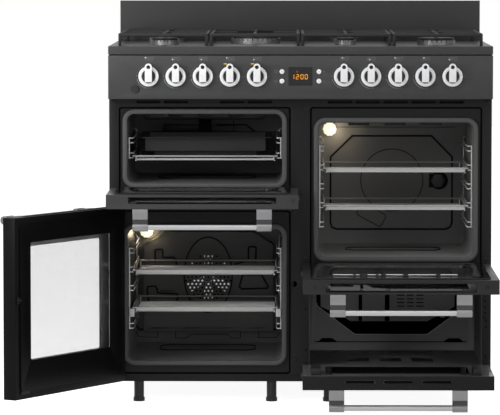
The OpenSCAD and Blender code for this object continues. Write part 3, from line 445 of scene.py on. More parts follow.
# dark plates behind the vent slots: painted shade of the ducts, with a brown tint
duct_painted_shade = finish("painted duct shade", (0.010, 0.008, 0.005), 0.7, gloss=0.05, cloud=0.5)
ducts = [plate("duct", x, 0.788, 0.072, 0.013, 0.004, -0.2475, 0.001)
         for x in (-.397, -.325, -.178, -.106, .104, .176, .249, .322, .395)]
settle(join("vent_ducts", ducts), duct_painted_shade)

black_screw = finish("blackened screw", 0.008, 0.42, metal=0.3, grain=300)
flange_screws = [(-0.466, 0.7645), (-0.036, 0.7645), (-0.466, 0.494), (-0.036, 0.494)]
frame_screws = [(-0.488, 0.749), (-0.0147, 0.749), (-0.0147, 0.500), (-0.0147, 0.112),
                (0.0147, 0.7705), (0.4880, 0.7705), (0.0147, 0.381), (0.4875, 0.381)]
settle(bolt_heads("flange_screws", [(x, -0.249, z) for x, z in flange_screws], 0.0085, 0.003),
       black_screw)
settle(bolt_heads("frame_screws", [(x, frame_y - 0.001, z) for x, z in frame_screws],
                  0.011, 0.003), black_screw)
settle(bolt_heads("frame_rivets", [(x, frame_y - 0.0003, z) for x, z in (
    (0.0152, 0.2453), (0.0152, 0.137), (0.0152, 0.0997), (0.4846, 0.2662), (0.4846, 0.2505),
    (0.4846, 0.2362), (0.4825, 0.223), (0.4873, 0.2144), (0.4873, 0.198), (0.4865, 0.1202))],
    0.0052, 0.0012), black_and_painted_shade)


def raised_text(name, words, x, y, z, tall, deep, material, body="cooker_body"):
    """Small lettering as a solid that stands on a front face."""
    bpy.ops.object.select_all(action="DESELECT")
    bpy.ops.object.text_add(location=(x, y, z), rotation=(math.pi / 2, 0, 0))
    made = bpy.context.object
    made.name = name
    made.data.body = words
    made.data.size = tall
    made.data.align_x = "CENTER"
    made.data.align_y = "CENTER"
    made.data.extrude = deep / 2
    bpy.ops.object.convert(target="MESH")
    return settle(bpy.context.object, material, body)


number_dark = finish("shelf number enamel", 0.012, 0.4, gloss=0.1)
numbers = []
for x, z0, rungs in ((-0.25, 0.5755, (0.0645, 0.104)), (-0.25, 0.1095, (.081, .131, .181, .23, .28)),
                     (0.25, 0.3825, (.076, .127, .1765, .226, .276))):
    for k, rung in enumerate(rungs):
        for side in (-1, 1):
            numbers.append(raised_text("number", str(k + 1), x + side * 0.2365,
                                       frame_y - 0.0003, z0 + rung + 0.006, 0.011, 0.0006,
                                       number_dark))
settle(join("shelf_numbers", numbers), number_dark)


# ---------------------------------------------------------------------------------------------
# Control panel: an anthracite fascia folded at its edges, with printed marks round each knob and
# small burner signs over them.
fascia = eased_copy("control_panel", "fascia", 0.0024)
settle(fascia, anthracite, stands_for=("control_panel",))

print_blue = finish("printed sign", (0.20, 0.22, 0.24), 0.6, relief=0.0)
print_light = finish("light printed sign", (0.46, 0.50, 0.53), 0.6, relief=0.0)
print_faint = finish("faint printed mark", (0.115, 0.120, 0.125), 0.6, relief=0.0)
print_amber = finish("amber printed mark", (0.55, 0.34, 0.02), 0.5, relief=0.0)
print_y, print_deep = -0.3002, 0.0004
knob_z = 0.857
knob_x = [side * (0.113 + 0.0704 * k) for side, k in
          ((-1, 4), (-1, 3), (-1, 2), (-1, 1), (-1, 0), (1, 0), (1, 1), (1, 2), (1, 3), (1, 4))]


def arc_mark(x, radius, start, end, wide):
    """A printed arc round a knob, from one angle to another, as a thin raised line."""
    bpy.ops.object.select_all(action="DESELECT")
    bpy.ops.mesh.primitive_circle_add(vertices=120, radius=radius, fill_type="NOTHING",
                                      location=(x, print_y, knob_z), rotation=(math.pi / 2, 0, 0))
    arc = bpy.context.object
    choose(arc, "VERT", lambda v: not start < math.degrees(math.atan2(v.co.y, v.co.x)) % 360 < end)
    bpy.ops.mesh.delete(type="VERT")
    bpy.ops.mesh.select_all(action="SELECT")
    bpy.ops.mesh.extrude_region_move()
    grow = 1 + wide / radius
    bpy.ops.transform.resize(value=(grow, grow, grow), center_override=(x, print_y, knob_z))
    bpy.ops.mesh.select_all(action="SELECT")
    bpy.ops.mesh.extrude_region_move(TRANSFORM_OT_translate={"value": (0, print_deep, 0)})
    bpy.ops.mesh.select_all(action="SELECT")
    bpy.ops.mesh.normals_make_consistent(inside=False)
    bpy.ops.object.mode_set(mode="OBJECT")
    return arc


def mark(x, z, w, h, corner, rail=0.0, steps=8):
    """A small printed patch on the fascia, or with a rail its outline."""
    return plate("mark", x, z, w, h, corner, print_y, print_deep, rail, steps=steps)


faint, signs, bright, dashes = [], [], [], []
for i, x in enumerate(knob_x):
    if i in (3, 4):
        dashes.append(mark(x - 0.0115, knob_z + 0.0325, 0.0090, 0.0030, 0.0004))
    if i in (3, 4, 9):
        for turn in (180, 225, 270, 315, 0):
            a = math.radians(turn)
            faint.append(mark(x + 0.0318 * math.cos(a), knob_z + 0.0318 * math.sin(a), 0.0020, 0.0020,
                              0.0006))
    else:
        signs.append(arc_mark(x, 0.0305, 191, 262, 0.0013))
        faint.append(arc_mark(x, 0.0306, 262, 288, 0.0010))
        faint.append(arc_mark(x, 0.0312, 118, 170, 0.0006))
        signs.append(mark(x - 0.0312, knob_z + 0.001, 0.0014, 0.0032, 0.0004))
    # signs over the knob: the hob's burners with one filled, and the door or flame beside them
    spot = ((0, 1), (0, 0), (1, 0), (0, 1), (0, 0), (1, 1), (1, 0), (0, 1), (1, 1), (0, 0))[i]
    for col in range(3):
        for row in range(2):
            full = (col, row) == spot
            (bright if full else faint).append(
                mark(x - 0.0082 + col * 0.0042, 0.9006 + row * 0.0048, 0.0034, 0.0036, 0.0014,
                     0.0 if full else 0.0008, 3))
    faint.append(mark(x + 0.0078, 0.9030, 0.0078, 0.0086, 0.001, 0.0011))
for z in (0.8694, 0.8446):
    faint.append(mark(0.0605, z, 0.0048, 0.0012, 0.0003))
faint.append(mark(0.0605, 0.8694, 0.0012, 0.0048, 0.0003))
for z in (0.8694, 0.8446):
    faint.append(mark(-0.0635, z, 0.0075, 0.0068, 0.003, 0.0010))
settle(join("fascia_marks", faint), print_faint)
settle(join("fascia_arcs", signs), print_blue)
settle(join("fascia_bright_marks", bright), print_light)
settle(join("fascia_amber_dashes", dashes), print_amber)

# ---------------------------------------------------------------------------------------------
# Clock: a gloss-black window with amber figures behind it, and four silvered push buttons.
clock_glass = finish("clock window", (0.0045, 0.0045, 0.005), 0.1, coat=0.3, relief=0.0)
dress(clock_glass, "timer_display")


def light_up(material, colour, strength):
    """Makes a finish shine with its own light."""
    put(material.node_tree.nodes["Principled BSDF"],
        {"Emission Color": colour, "Emission Strength": strength})


amber = finish("amber figures", (0.5, 0.2, 0.01), 0.5, relief=0.0)
light_up(amber, (1, 0.36, 0.02, 1), 0.55)


def clock_stroke(x, z, w, h):
    return plate("stroke", x, z, w, h, min(w, h) * 0.45, -0.3009, 0.0004, steps=2)


def clock_figure(x, z, segments, w=0.0062, h=0.0115, t=0.0017):
    """One seven-segment figure out of bars."""
    bars = {"a": (0, h / 2, w, t), "g": (0, 0, w, t), "d": (0, -h / 2, w, t),
            "f": (-w / 2, h / 4, t, h / 2), "b": (w / 2, h / 4, t, h / 2),
            "e": (-w / 2, -h / 4, t, h / 2), "c": (w / 2, -h / 4, t, h / 2)}
    return [clock_stroke(x + bars[s][0], z + bars[s][1], bars[s][2] * 0.92, bars[s][3] * 0.92)
            for s in segments]


figures = clock_figure(-0.0200, 0.8560, "bc") + clock_figure(-0.0080, 0.8560, "abged")
figures += clock_figure(0.0040, 0.8560, "abcdef") + clock_figure(0.0150, 0.8560, "abcdef")
figures += [clock_stroke(-0.0019, z, 0.0012, 0.0012) for z in (0.8540, 0.8580)]
settle(join("clock_figures", figures), amber)
amber_dim = finish("dim amber figures", (0.22, 0.08, 0.005), 0.5, relief=0.0)
settle(plate("bell", -0.0085, 0.8690, 0.0052, 0.0042, 0.0018, -0.3009, 0.0004, 0.0010), amber_dim)

silver = finish("silver lacquer", (0.68, 0.68, 0.69), 0.35, metal=0.0, coat=0.1, grain=500, gloss=0.5)
silver_dark = finish("button centre", 0.22, 0.5, relief=0.0)
for i in range(4):
    button = eased_copy("timer_button_%d" % (i + 1), "clock_button_%d" % (i + 1), 0.0012)
    body = "timer_button_%d_body" % (i + 1)
    settle(button, silver, body, ("timer_button_%d" % (i + 1),))
    side = -1 if i < 2 else 1
    settle(plate("button_dot_%d" % (i + 1), side * 0.048, knob_z + (0.0124 if i % 2 == 0 else -0.0124),
                 0.0026, 0.0026, 0.0012, -0.3031, 0.0004), silver_dark, body)

# ---------------------------------------------------------------------------------------------
# Ignition button: a domed black plastic cap in a ring pressed into the fascia.
black_plastic = finish("black moulded plastic", 0.016, 0.42, grain=1400, relief=0.06)
bpy.ops.object.select_all(action="DESELECT")
bpy.ops.mesh.primitive_uv_sphere_add(segments=32, ring_count=16, radius=0.0093,
                                     location=(-0.430, -0.3005, 0.8234))
cap = bpy.context.object
bpy.ops.object.mode_set(mode="EDIT")
bpy.ops.mesh.select_all(action="SELECT")
bpy.ops.mesh.bisect(plane_co=(-0.430, -0.297, 0.8234), plane_no=(0, 1, 0), clear_outer=True,
                    use_fill=True)
bpy.ops.mesh.select_all(action="SELECT")
bpy.ops.transform.resize(value=(1, 0.52, 1), center_override=(-0.430, -0.297, 0.8234))
bpy.ops.object.mode_set(mode="OBJECT")
cap.name = "ignition_cap"
soften(cap, 0)
dress(black_plastic, "ignition_button")
settle(cap, black_plastic, "ignition_button_body")

# ---------------------------------------------------------------------------------------------
# Knobs: a silvered ring round a sunk dark dish, and a grip bar across it that ends in an eye.
knob_dark = finish("dark knob dish", (0.040, 0.040, 0.041), 0.4, grain=600)


def squared(size, place):
    """A square bar or block."""
    bpy.ops.object.select_all(action="DESELECT")
    bpy.ops.mesh.primitive_cube_add(size=1, location=place)
    made = bpy.context.object
    made.scale = size
    bpy.ops.object.transform_apply(location=True, rotation=True, scale=True)
    return made


eye_z = knob_z + 0.0245
for i, x in enumerate(knob_x):
    ring = turned(0.0263, 0.012, (x, -0.3063, knob_z), 72)
    ring.data.materials.append(silver)
    ring.data.materials.append(knob_dark)
    choose(ring, "FACE", lambda face: face.normal.z > 0.9)
    bpy.ops.mesh.inset(thickness=0.0084, depth=0)
    bpy.ops.mesh.extrude_region_move(TRANSFORM_OT_translate={"value": (0, 0.007, 0)})
    ring.active_material_index = 1
    bpy.ops.object.material_slot_assign()
    bpy.ops.object.mode_set(mode="OBJECT")
    soften(ring, 0.0018, 4)
    grip = squared((0.018, 0.0235, 0.0389), (x, -0.3135, knob_z + 0.00505))
    carve(grip, [turned(0.0092, 0.0235, (x, -0.3135, eye_z))], "UNION")
    carve(grip, [turned(0.0051, 0.02, (x, -0.3225, eye_z), 40)])
    soften(grip, 0.0013, 3, 40)
    grip.data.materials.append(silver)
    pupil = turned(0.00505, 0.001, (x, -0.3140, eye_z), 40)
    pupil.data.materials.append(knob_dark)
    knob = join("knob_turned_%d" % (i + 1), [ring, grip, pupil])
    settle(knob, None, "knob_%d_body" % (i + 1), ("knob_%d" % (i + 1),))

# ---------------------------------------------------------------------------------------------
# Hob and splashback: one pressed plate with a turned-down lip, and a hollow pressed splashback.
hob_enamel = finish("hob enamel", (0.036, 0.036, 0.0365), 0.38, relief=0.03, gloss=0.15)
# the splashback has the fascia's anthracite enamel, painted darker as shade
splash_enamel_painted_darker = finish("splashback enamel, painted darker", (0.034, 0.034, 0.0345), 0.4, relief=0.03, gloss=0.12)
hob = eased_copy("hob_plate", "pressed_hob", 0.0030, steps=4)
settle(hob, hob_enamel, stands_for=("hob_plate",))
splash = eased_copy("splashback", "pressed_splashback", 0.003, steps=4)
settle(splash, splash_enamel_painted_darker, stands_for=("splashback",))

burner_metal = finish("burner alloy", (0.17, 0.17, 0.175), 0.45, metal=1.0, grain=500, cloud=0.1)
cap_black = finish("enamelled burner cap", 0.016, 0.5, grain=700, relief=0.12)
dress(burner_metal, "burner_heads")
caps = eased_copy("burner_caps", "burner_caps_enamelled", 0.0022, angle=50)
settle(caps, cap_black, stands_for=("burner_caps",))

iron = finish("cast iron", 0.017, 0.62, grain=420, relief=0.35, cloud=0.2)
for i in range(4):
    support = eased_copy("pan_support_%d" % (i + 1), "cast_support_%d" % (i + 1), 0.0018, steps=2)
    settle(support, iron, "pan_support_%d_body" % (i + 1), ("pan_support_%d" % (i + 1),))

# ---------------------------------------------------------------------------------------------
# Ovens: three enamelled boxes with pressed grooves in their rear walls and floors, drawn as lines of
# painted shade, and a woven and rubber-cored gasket round each mouth.
oven_black = finish("speckled oven enamel", 0.110, 0.34, grain=260, relief=0.03,
                    gloss=0.20)
# the main oven's enamel is the same speckled enamel, painted lighter: painted light
main_oven_enamel_painted_lighter = finish("speckled oven enamel, painted lighter for the main oven", 0.180, 0.34, grain=260, relief=0.03,
                    gloss=0.20)
cover_black = finish("fan cover enamel", 0.092, 0.36, grain=260, relief=0.03,
                     gloss=0.16)
for node, inside in (("cavity_grill", oven_black), ("cavity_fan", oven_black),
                     ("cavity_main", main_oven_enamel_painted_lighter)):
    # the flange round the mouth keeps the frame's darker enamel
    walls = eased_copy(node, node + "_enamelled", 0)
    soften(walls, 0)
    coat_by(walls, (inside, dark_enamel),
            lambda face: face.center.y < -0.2405 and abs(face.normal.y) > 0.9)
    settle(walls, None, stands_for=(node,))
dress(cover_black, "fan_cover")
gasket_rubber = finish("grey gasket", 0.066, 0.7, grain=1200, relief=0.2, gloss=0.2)
gaskets = []
for x, z0, h in ((-0.25, 0.5755, 0.181), (-0.25, 0.1095, 0.346), (0.25, 0.3825, 0.352)):
    gaskets.append(plate("gasket", x, z0 + h / 2, 0.430, h + 0.026, 0.031, -0.2597, 0.0117,
                         0.013, 0.0042))
settle(join("oven_gaskets", gaskets), gasket_rubber, stands_for=("oven_seals",))

# the pressings' grooves and seams are thin near-black beads: painted shade. The same blacks colour the boss
# plate, the louvres, the pipe and the fan door's small fittings.
groove_shade_and_dark_parts = finish("painted groove shade and dark parts", 0.006, 0.5, gloss=0.1)
soft_groove_shade_and_dark_parts = finish("painted shallow groove shade and dark parts", 0.011, 0.5, gloss=0.1)


def oval(x, z, rx, rz, count=40):
    """Points round an oval."""
    return [(x + rx * math.cos(math.tau * k / count), z + rz * math.sin(math.tau * k / count))
            for k in range(count)]


# main oven's rear wall: an eight-sided pressing, a turned oblong, a ring and a capped boss, their
# lines drawn as painted shade; the dark disc just behind the cap is the cap's painted shadow
wall = 0.1698
octagon = [(0.0837, 0.6199), (0.1433, 0.6777), (0.3594, 0.6777), (0.4156, 0.6199),
           (0.4156, 0.4395), (0.4111, 0.4286), (0.4003, 0.4224), (0.1007, 0.4224),
           (0.0878, 0.4276), (0.0837, 0.4395), (0.0837, 0.6199)]
oblong = [(0.1688, 0.4922), (0.2165, 0.4718), (0.2328, 0.4616), (0.2352, 0.4548),
          (0.2233, 0.4333), (0.2182, 0.4293), (0.2131, 0.431), (0.1603, 0.4599),
          (0.1552, 0.4667), (0.1586, 0.4752), (0.1688, 0.4922)]
ring = oval(0.2512, 0.557, 0.085, 0.085)
press("rear_wall_groove_shade_main", [octagon], wall, 0.0052, groove_shade_and_dark_parts)
press("rear_wall_lines_main", [oblong, ring + ring[:1]], wall, 0.0024, soft_groove_shade_and_dark_parts)
press("rear_wall_seam_main", [[(0.1007, 0.7015), (0.4241, 0.7015)]], wall, 0.0018, soft_groove_shade_and_dark_parts)
boss = cut_sheet("boss_plate", corners(0.3526, 0.3764, 0.5365, 0.5739), 0.1690, 0.0008)
settle(soften(boss, 0.0003, 2), groove_shade_and_dark_parts)
boss_shadow_disc = cut_sheet("boss_painted_shadow", oval(0.3800, 0.5555, 0.0245, 0.0245), 0.1665, 0.003)
settle(soften(boss_shadow_disc, 0.0008, 2), groove_shade_and_dark_parts)
hexagon = cut_sheet("boss_cap", oval(0.3770, 0.5555, 0.0188, 0.0205, 6), 0.1600, 0.0065)
settle(soften(hexagon, 0.0016, 3), cover_black)

# drip trays pressed into the floors, with cut corners, their edges drawn as lines of painted shade
trays = []
for x0, x1, y0, y1, z in ((0.124, 0.375, -0.054, 0.039, 0.3825),
                          (-0.377, -0.122, -0.060, 0.045, 0.5755),
                          (-0.377, -0.122, -0.019, 0.107, 0.1095)):
    a0, a1, b0, b1 = x0 + 0.02, x1 - 0.02, y0 + 0.02, y1 - 0.02
    outline = [(a0, y0), (a1, y0), (x1, b0), (x1, b1), (a1, y1), (a0, y1), (x0, b1), (x0, b0)]
    trays.append([(x, y, z + 0.0003) for x, y in outline + outline[:1]])
settle(bent_wires("floor_groove_shades", trays, 0.0042), groove_shade_and_dark_parts)

# fan cover's pressings: an oval round the suction holes, three hooks, a pan-shaped dent and seams,
# all drawn as lines of painted shade
cover_y = 0.1398
left_hook = [(-0.395, 0.3325), (-0.395, 0.3658), (-0.3918, 0.3689), (-0.3776, 0.3689),
             (-0.3744, 0.3658), (-0.3744, 0.3468), (-0.3459, 0.3468), (-0.338, 0.3404),
             (-0.3364, 0.3262)]
low_hook = [(-0.4124, 0.2217), (-0.4172, 0.2565), (-0.4162, 0.266), (-0.395, 0.2676),
            (-0.3903, 0.2597), (-0.3887, 0.2495), (-0.3364, 0.247), (-0.3317, 0.2407),
            (-0.338, 0.2217)]
right_hook = [(-0.1211, 0.3325), (-0.1195, 0.3737), (-0.1226, 0.3759), (-0.1369, 0.3759),
              (-0.1401, 0.3721), (-0.1407, 0.3388), (-0.1781, 0.3278)]
dent = [(-0.1559, 0.2993), (-0.1052, 0.2993), (-0.0862, 0.2676), (-0.0894, 0.2622),
        (-0.1575, 0.2603), (-0.1654, 0.266), (-0.1559, 0.2993)]
ring = oval(-0.2503, 0.299, 0.0658, 0.103)
press("fan_cover_groove_shades", (left_hook, low_hook, right_hook, dent), cover_y, 0.0052, groove_shade_and_dark_parts)
press("fan_cover_oval", [ring + ring[:1]], cover_y, 0.0040, groove_shade_and_dark_parts)
press("fan_cover_lines", [[(-0.3712, 0.3452), (-0.3443, 0.3452)],
                          [(-0.3823, 0.2549), (-0.3402, 0.2549)]], cover_y, 0.0022, soft_groove_shade_and_dark_parts)
edge_wave = [(-0.4473, 0.1583), (-0.4393, 0.1472), (-0.3617, 0.1463), (-0.3475, 0.1514),
             (-0.3301, 0.1472), (-0.1717, 0.145), (-0.1543, 0.152), (-0.1401, 0.1463),
             (-0.0704, 0.1463), (-0.0561, 0.1552)]
press("fan_cover_lower_edge", [edge_wave], 0.1500, 0.0045, groove_shade_and_dark_parts)
low_wall = [[(-0.4486, 0.1392), (-0.4422, 0.1249), (-0.3898, 0.1233), (-0.3898, 0.1408)],
            [(-0.339, 0.1217), (-0.3104, 0.1217), (-0.2993, 0.1322), (-0.1992, 0.1322),
             (-0.1865, 0.1217), (-0.1627, 0.1217)], [(-0.3406, 0.1408), (-0.3406, 0.122)],
            [(-0.1627, 0.1408), (-0.1627, 0.122)],
            [(-0.1135, 0.1408), (-0.1135, 0.1233), (-0.0642, 0.1233), (-0.0547, 0.136)]]
press("rear_wall_lines_fan", low_wall, wall, 0.0022, groove_shade_and_dark_parts)
# warm lines beside the lamp, on the cover's cut corner: the lamp's light on its edges, painted
strips = [[(-0.4255, 0.1385, 0.3905), (-0.3760, 0.1385, 0.4185)],
          [(-0.4230, 0.1385, 0.3820), (-0.3700, 0.1385, 0.4120)]]
corner_painted_lamp_light = finish("painted lamp light on corner edge", (0.10, 0.085, 0.05), 0.35, metal=0.5)
settle(bent_wires("cover_corner_edges", strips, 0.0022), corner_painted_lamp_light)

# grill oven's rear wall: the burner-side reflector box, its louvres, a terminal block and a pipe;
# its pressed lines are drawn as painted shade
dull_steel = finish("heat-dulled sheet", 0.035, 0.45, gloss=0.3)
box = cut_sheet("grill_reflector", [(-0.3755, 0.6915), (-0.2755, 0.6915), (-0.2755, 0.7090),
                                    (-0.3710, 0.7090)], 0.150, 0.0195)
settle(soften(box, 0.0015, 2), dull_steel)
louvres = [cut_sheet("louvre", [(x0, 0.6788), (x0 + 0.013, 0.6788), (x0 + 0.016, 0.6895),
                                (x0 + 0.003, 0.6895)], 0.160, 0.0095)
           for x0 in (-0.3700, -0.3500, -0.3300, -0.3100, -0.2900)]
settle(soften(join("grill_louvres", louvres), 0), groove_shade_and_dark_parts)
block = cut_sheet("grill_terminal_block", corners(-0.2755, -0.2421, 0.6740, 0.7217), 0.148, 0.0215)
block_brown = finish("ceramic block", (0.012, 0.011, 0.010), 0.6, gloss=0.1)
settle(soften(block, 0.001, 2), block_brown)
pipe = [(-0.2278, 0.708), (-0.1818, 0.708), (-0.1468, 0.708), (-0.123, 0.6867), (-0.0801, 0.6852)]
press("grill_pipe", [pipe], 0.165, 0.0040, groove_shade_and_dark_parts)
outline = corners(-0.2421, -0.1722, 0.6772, 0.7042)
press("grill_wall_lines", [outline + outline[:1], [(-0.1808, 0.7185), (-0.1808, 0.6756)],
                           [(-0.4279, 0.7312), (-0.4216, 0.7233), (-0.1024, 0.7233),
                            (-0.096, 0.7312)]], wall, 0.0022, soft_groove_shade_and_dark_parts)

# ---------------------------------------------------------------------------------------------
# Shelf racks: chrome wires on both walls of each oven, with a pair of rungs for each height.
chrome = finish("chrome wire", (0.36, 0.36, 0.355), 0.34, metal=0.45, grain=300, gloss=0.5)
rack_front, rack_back = -0.220, 0.110
posts, rungs_made = [], []
for x, z0, rungs in ((-0.25, 0.5755, (0.0645, 0.104)), (-0.25, 0.1095, (.081, .181, .23, .28)),
                     (0.25, 0.3825, (.076, .127, .1765, .226, .276))):
    for side in (-1, 1):
        side_wall = x + side * 0.202
        front, rear, run_x = x + side * 0.1995, x + side * 0.194, x + side * 0.1885
        top = z0 + rungs[-1] + 0.0126
        posts.append([(front, rack_front, z0 + rungs[0] - 0.002), (front, rack_front, top + 0.002)])
        posts.append([(side_wall, rack_back, z0 + rungs[0] - 0.0025),
                      (rear + side * 0.002, rack_back, z0 + rungs[0] - 0.0025),
                      (rear, rack_back, z0 + rungs[0] - 0.0005), (rear, rack_back, top + 0.004),
                      (rear + side * 0.0015, rack_back, top + 0.0075),
                      (side_wall, rack_back, top + 0.008)])
        for rung in rungs:
            for up in (0, 0.0126):
                z = z0 + rung + up
                rungs_made.append([(front, rack_front, z), (run_x + side * 0.002, rack_front, z),
                                   (run_x, rack_front + 0.002, z), (run_x, rack_back - 0.002, z),
                                   (run_x + side * 0.001, rack_back, z), (rear, rack_back, z)])
thick = bent_wires("posts", posts, 0.0048)
thin = bent_wires("rungs", rungs_made, 0.0039)
rails = eased_copy("shelf_racks", "runner_rails", 0)


def off_the_rails(v):
    """Tells the racks' wires, which are made anew, from the runners' fixed rails."""
    near_rail = 0.222 < v.co.z < 0.2420 and abs(abs(v.co.x + 0.25) - 0.1962) < 0.0040
    on_post = (abs(abs(v.co.x + 0.25) - 0.1995) < 0.0028 and abs(v.co.y + 0.220) < 0.0027
               and not 0.2262 < v.co.z < 0.2388)
    return not near_rail or on_post


choose(rails, "VERT", off_the_rails)
bpy.ops.mesh.delete(type="VERT")
bpy.ops.object.mode_set(mode="OBJECT")
settle(join("shelf_rack_wires", [thick, thin, rails]), chrome, stands_for=("shelf_racks",))

# ---------------------------------------------------------------------------------------------
# Shelves: each a rim of chrome wire that runs on the rungs, with its rear end bent in and down,
# a lower front rail and eighteen rods from side to side on two wires that slope to the rear.
shelf_wire = finish("satin shelf wire", (0.31, 0.31, 0.305), 0.40, metal=0.35, grain=300, gloss=0.4)
# the food rods are the rim's wire, painted much lighter: the light they catch, painted
food_wire_painted_light = finish("satin food wire, painted lighter", (0.80, 0.80, 0.79), 0.45, metal=0.15, grain=300, gloss=0.4)
shelf_front, shelf_back = -0.228, 0.122
for node, body, x, z in (("grill_shelf", "grill_shelf_body", -0.25, 0.6423),
                         ("fan_shelf_upper", "fan_upper_shelf_body", -0.25, 0.3418),
                         ("fan_shelf_lower", "fan_lower_shelf_body", -0.25, 0.2438),
                         ("main_shelf_upper", "main_upper_shelf_body", 0.25, 0.6108),
                         ("main_shelf_lower", "main_lower_shelf_body", 0.25, 0.5118)):
    rim_z = z + 0.0025
    rear_y = shelf_back - 0.0025
    runs = [[(x - 0.1905, shelf_front + 0.0025, rim_z), (x + 0.1905, shelf_front + 0.0025, rim_z)]]
    around = []
    for side in (-1, 1):
        half = [(x + side * 0.1885, shelf_front + 0.003, rim_z), (x + side * 0.1885, 0.098, rim_z),
                (x + side * 0.1872, 0.108, rim_z - 0.001), (x + side * 0.1848, 0.1165, rim_z - 0.0035),
                (x + side * 0.1825, rear_y, z - 0.0018)]
        around += half if side < 0 else half[::-1]
    runs.append(around)
    thick = bent_wires("rim", runs, 0.0046)
    runs = [[(x - 0.1805, shelf_front + 0.002, z + 0.001), (x - 0.1812, shelf_front + 0.002, z - 0.005),
             (x - 0.1795, shelf_front + 0.002, z - 0.0068), (x + 0.1795, shelf_front + 0.002, z - 0.0068),
             (x + 0.1812, shelf_front + 0.002, z - 0.005), (x + 0.1805, shelf_front + 0.002, z + 0.001)]]
    rail = bent_wires("front_rail", runs, 0.0040)
    if node != "grill_shelf":
        strip = plate("rail_strip", x, z - 0.0024, 0.3610, 0.0076, 0.002, shelf_front + 0.0012, 0.0016)
        rail = join("front_rail", [rail, strip])
    tilt = math.asin(0.011 / 0.345)

    def on_wires(across, along, up):
        """A place on the sloping plane of the shelf's food wires."""
        return (x + across, shelf_front + 0.002 + along * math.cos(tilt) + up * math.sin(tilt),
                z - 0.006 - along * math.sin(tilt) + up * math.cos(tilt))

    runs = []
    for side in (-1, 1):
        runs.append([on_wires(side * 0.182, 0.001, -0.0025), on_wires(side * 0.182, 0.345, -0.0025)])
        runs.append([(x + side * 0.184, rear_y, z + 0.001), (x + side * 0.184, rear_y, z - 0.0195)])
    for k in range(18):
        along = 0.0075 + k * 0.332 / 17
        runs.append([on_wires(-0.182, along, 0), on_wires(0.182, along, 0)])
    rods = bent_wires("rods", runs, 0.0030, 2)
    settle(join(node + "_wires", [thick, rail]), shelf_wire, body, (node,))
    settle(rods, food_wire_painted_light, body).name = node + "_food_wires"

# Telescopic runners of the fan oven's lower shelf: steel slides with a light moulded cap in front.
steel = finish("plain steel", 0.42, 0.35, metal=1.0, grain=300, cloud=0.12)
cap_grey = finish("moulded runner cap", (0.52, 0.52, 0.53), 0.4, gloss=0.4, grain=900)
runners = eased_copy("shelf_runners", "telescopic_runners", 0.0018, 3)
coat_by(runners, (steel, cap_grey), lambda face: face.center.y < -0.2245)
settle(runners, None, "fan_lower_shelf_body", ("shelf_runners",))

# ---------------------------------------------------------------------------------------------
# Grill pan, elements, the fan's blade and the gas rail. The pan is deep-drawn and enamelled; the
# blade is a stamped steel wheel with six broad vanes that shine behind the cover's holes.
pan_enamel = finish("grill pan enamel", 0.018, 0.34, grain=260, gloss=0.25)
tray = eased_copy("grill_pan", "enamelled_grill_pan", 0.0015)
settle(tray, pan_enamel, "grill_pan_body", ("grill_pan",))
element = finish("sheathed element", (0.018, 0.017, 0.016), 0.6, metal=0.2, grain=700)
dress(element, "heating_elements")
brass = finish("brass", (0.62, 0.44, 0.18), 0.35, metal=1.0)
dress(brass, "gas_rail")
hinge_steel = finish("dark hinge steel", 0.05, 0.4, metal=0.5, grain=300)
dress(hinge_steel, "hinge_brackets")

axis = (-0.25, 0.292)
wheel = cut_sheet("wheel", oval(*axis, 0.0715, 0.0715, 60), 0.1592, 0.0012)
hub = cut_sheet("hub", oval(*axis, 0.012, 0.012, 30), 0.1475, 0.0125)
shine = finish("bright rolled steel", 0.80, 0.25, metal=1.0, grain=400, cloud=0.15)
# the wheel's disc is near black: painted shade behind the cover's holes
wheel_painted_shade = finish("fan wheel, painted shade", 0.010, 0.5, gloss=0.1)
vanes = []
for k in range(6):
    a = math.radians(30 + 60 * k)
    out, aside = (math.cos(a), math.sin(a)), (-math.sin(a), math.cos(a))
    spots = [(0.011, -0.007), (0.030, -0.0115), (0.062, -0.0125), (0.062, 0.0125), (0.030, 0.0115),
             (0.011, 0.007)]
    vane = cut_sheet("vane", [(axis[0] + r * out[0] + s * aside[0], axis[1] + r * out[1] + s * aside[1])
                              for r, s in spots], 0.1500, 0.0010)
    vanes.append(soften(vane, 0))
settle(soften(join("fan_wheel", [wheel, hub]), 0), wheel_painted_shade, "fan_impeller", ("fan_blade",))
settle(join("fan_vanes", vanes), shine, "fan_impeller")

# Oven lamps: a frosted glass lens with a scalloped rim over a bulb, lit.
lit = finish("lit lamp glass", (0.22, 0.21, 0.17), 0.3, relief=0.0)
light_up(lit, (1, 0.93, 0.70, 1), 0.82)
bulb = finish("lamp bulb", (0.8, 0.75, 0.6), 0.4, relief=0.0)
light_up(bulb, (1, 0.90, 0.62, 1), 0.55)
lenses, bulbs = [], []
for x, z in ((-0.419, 0.4175), (0.081, 0.6965)):
    rim = []
    for k in range(60):
        a = math.tau * k / 60
        r = 0.0182 + 0.0008 * math.cos(a * 10)
        rim.append((x + r * math.cos(a), z + r * math.sin(a)))
    lens = cut_sheet("lens", rim, 0.1542, 0.0157)
    lenses.append(soften(lens, 0.0022, 4, 40))
    for step in (-0.0035, 0.0035):
        bulbs.append([(x - 0.006 + step, 0.1540, z + 0.005 + step),
                      (x + 0.004 + step, 0.1540, z - 0.005 + step)])
settle(join("lamp_lenses", lenses), lit, stands_for=("oven_lamps",))
settle(bent_wires("lamp_filaments", bulbs, 0.0022), bulb)
for x, z in ((-0.405, 0.4120), (0.095, 0.6910)):
    bpy.ops.object.light_add(type="POINT", location=(x, 0.130, z))
    glow = bpy.context.object
    glow.name = "lamp glow"
    glow.data.energy = 0.12
    glow.data.color = (1, 0.82, 0.55)
    glow.data.shadow_soft_size = 0.012

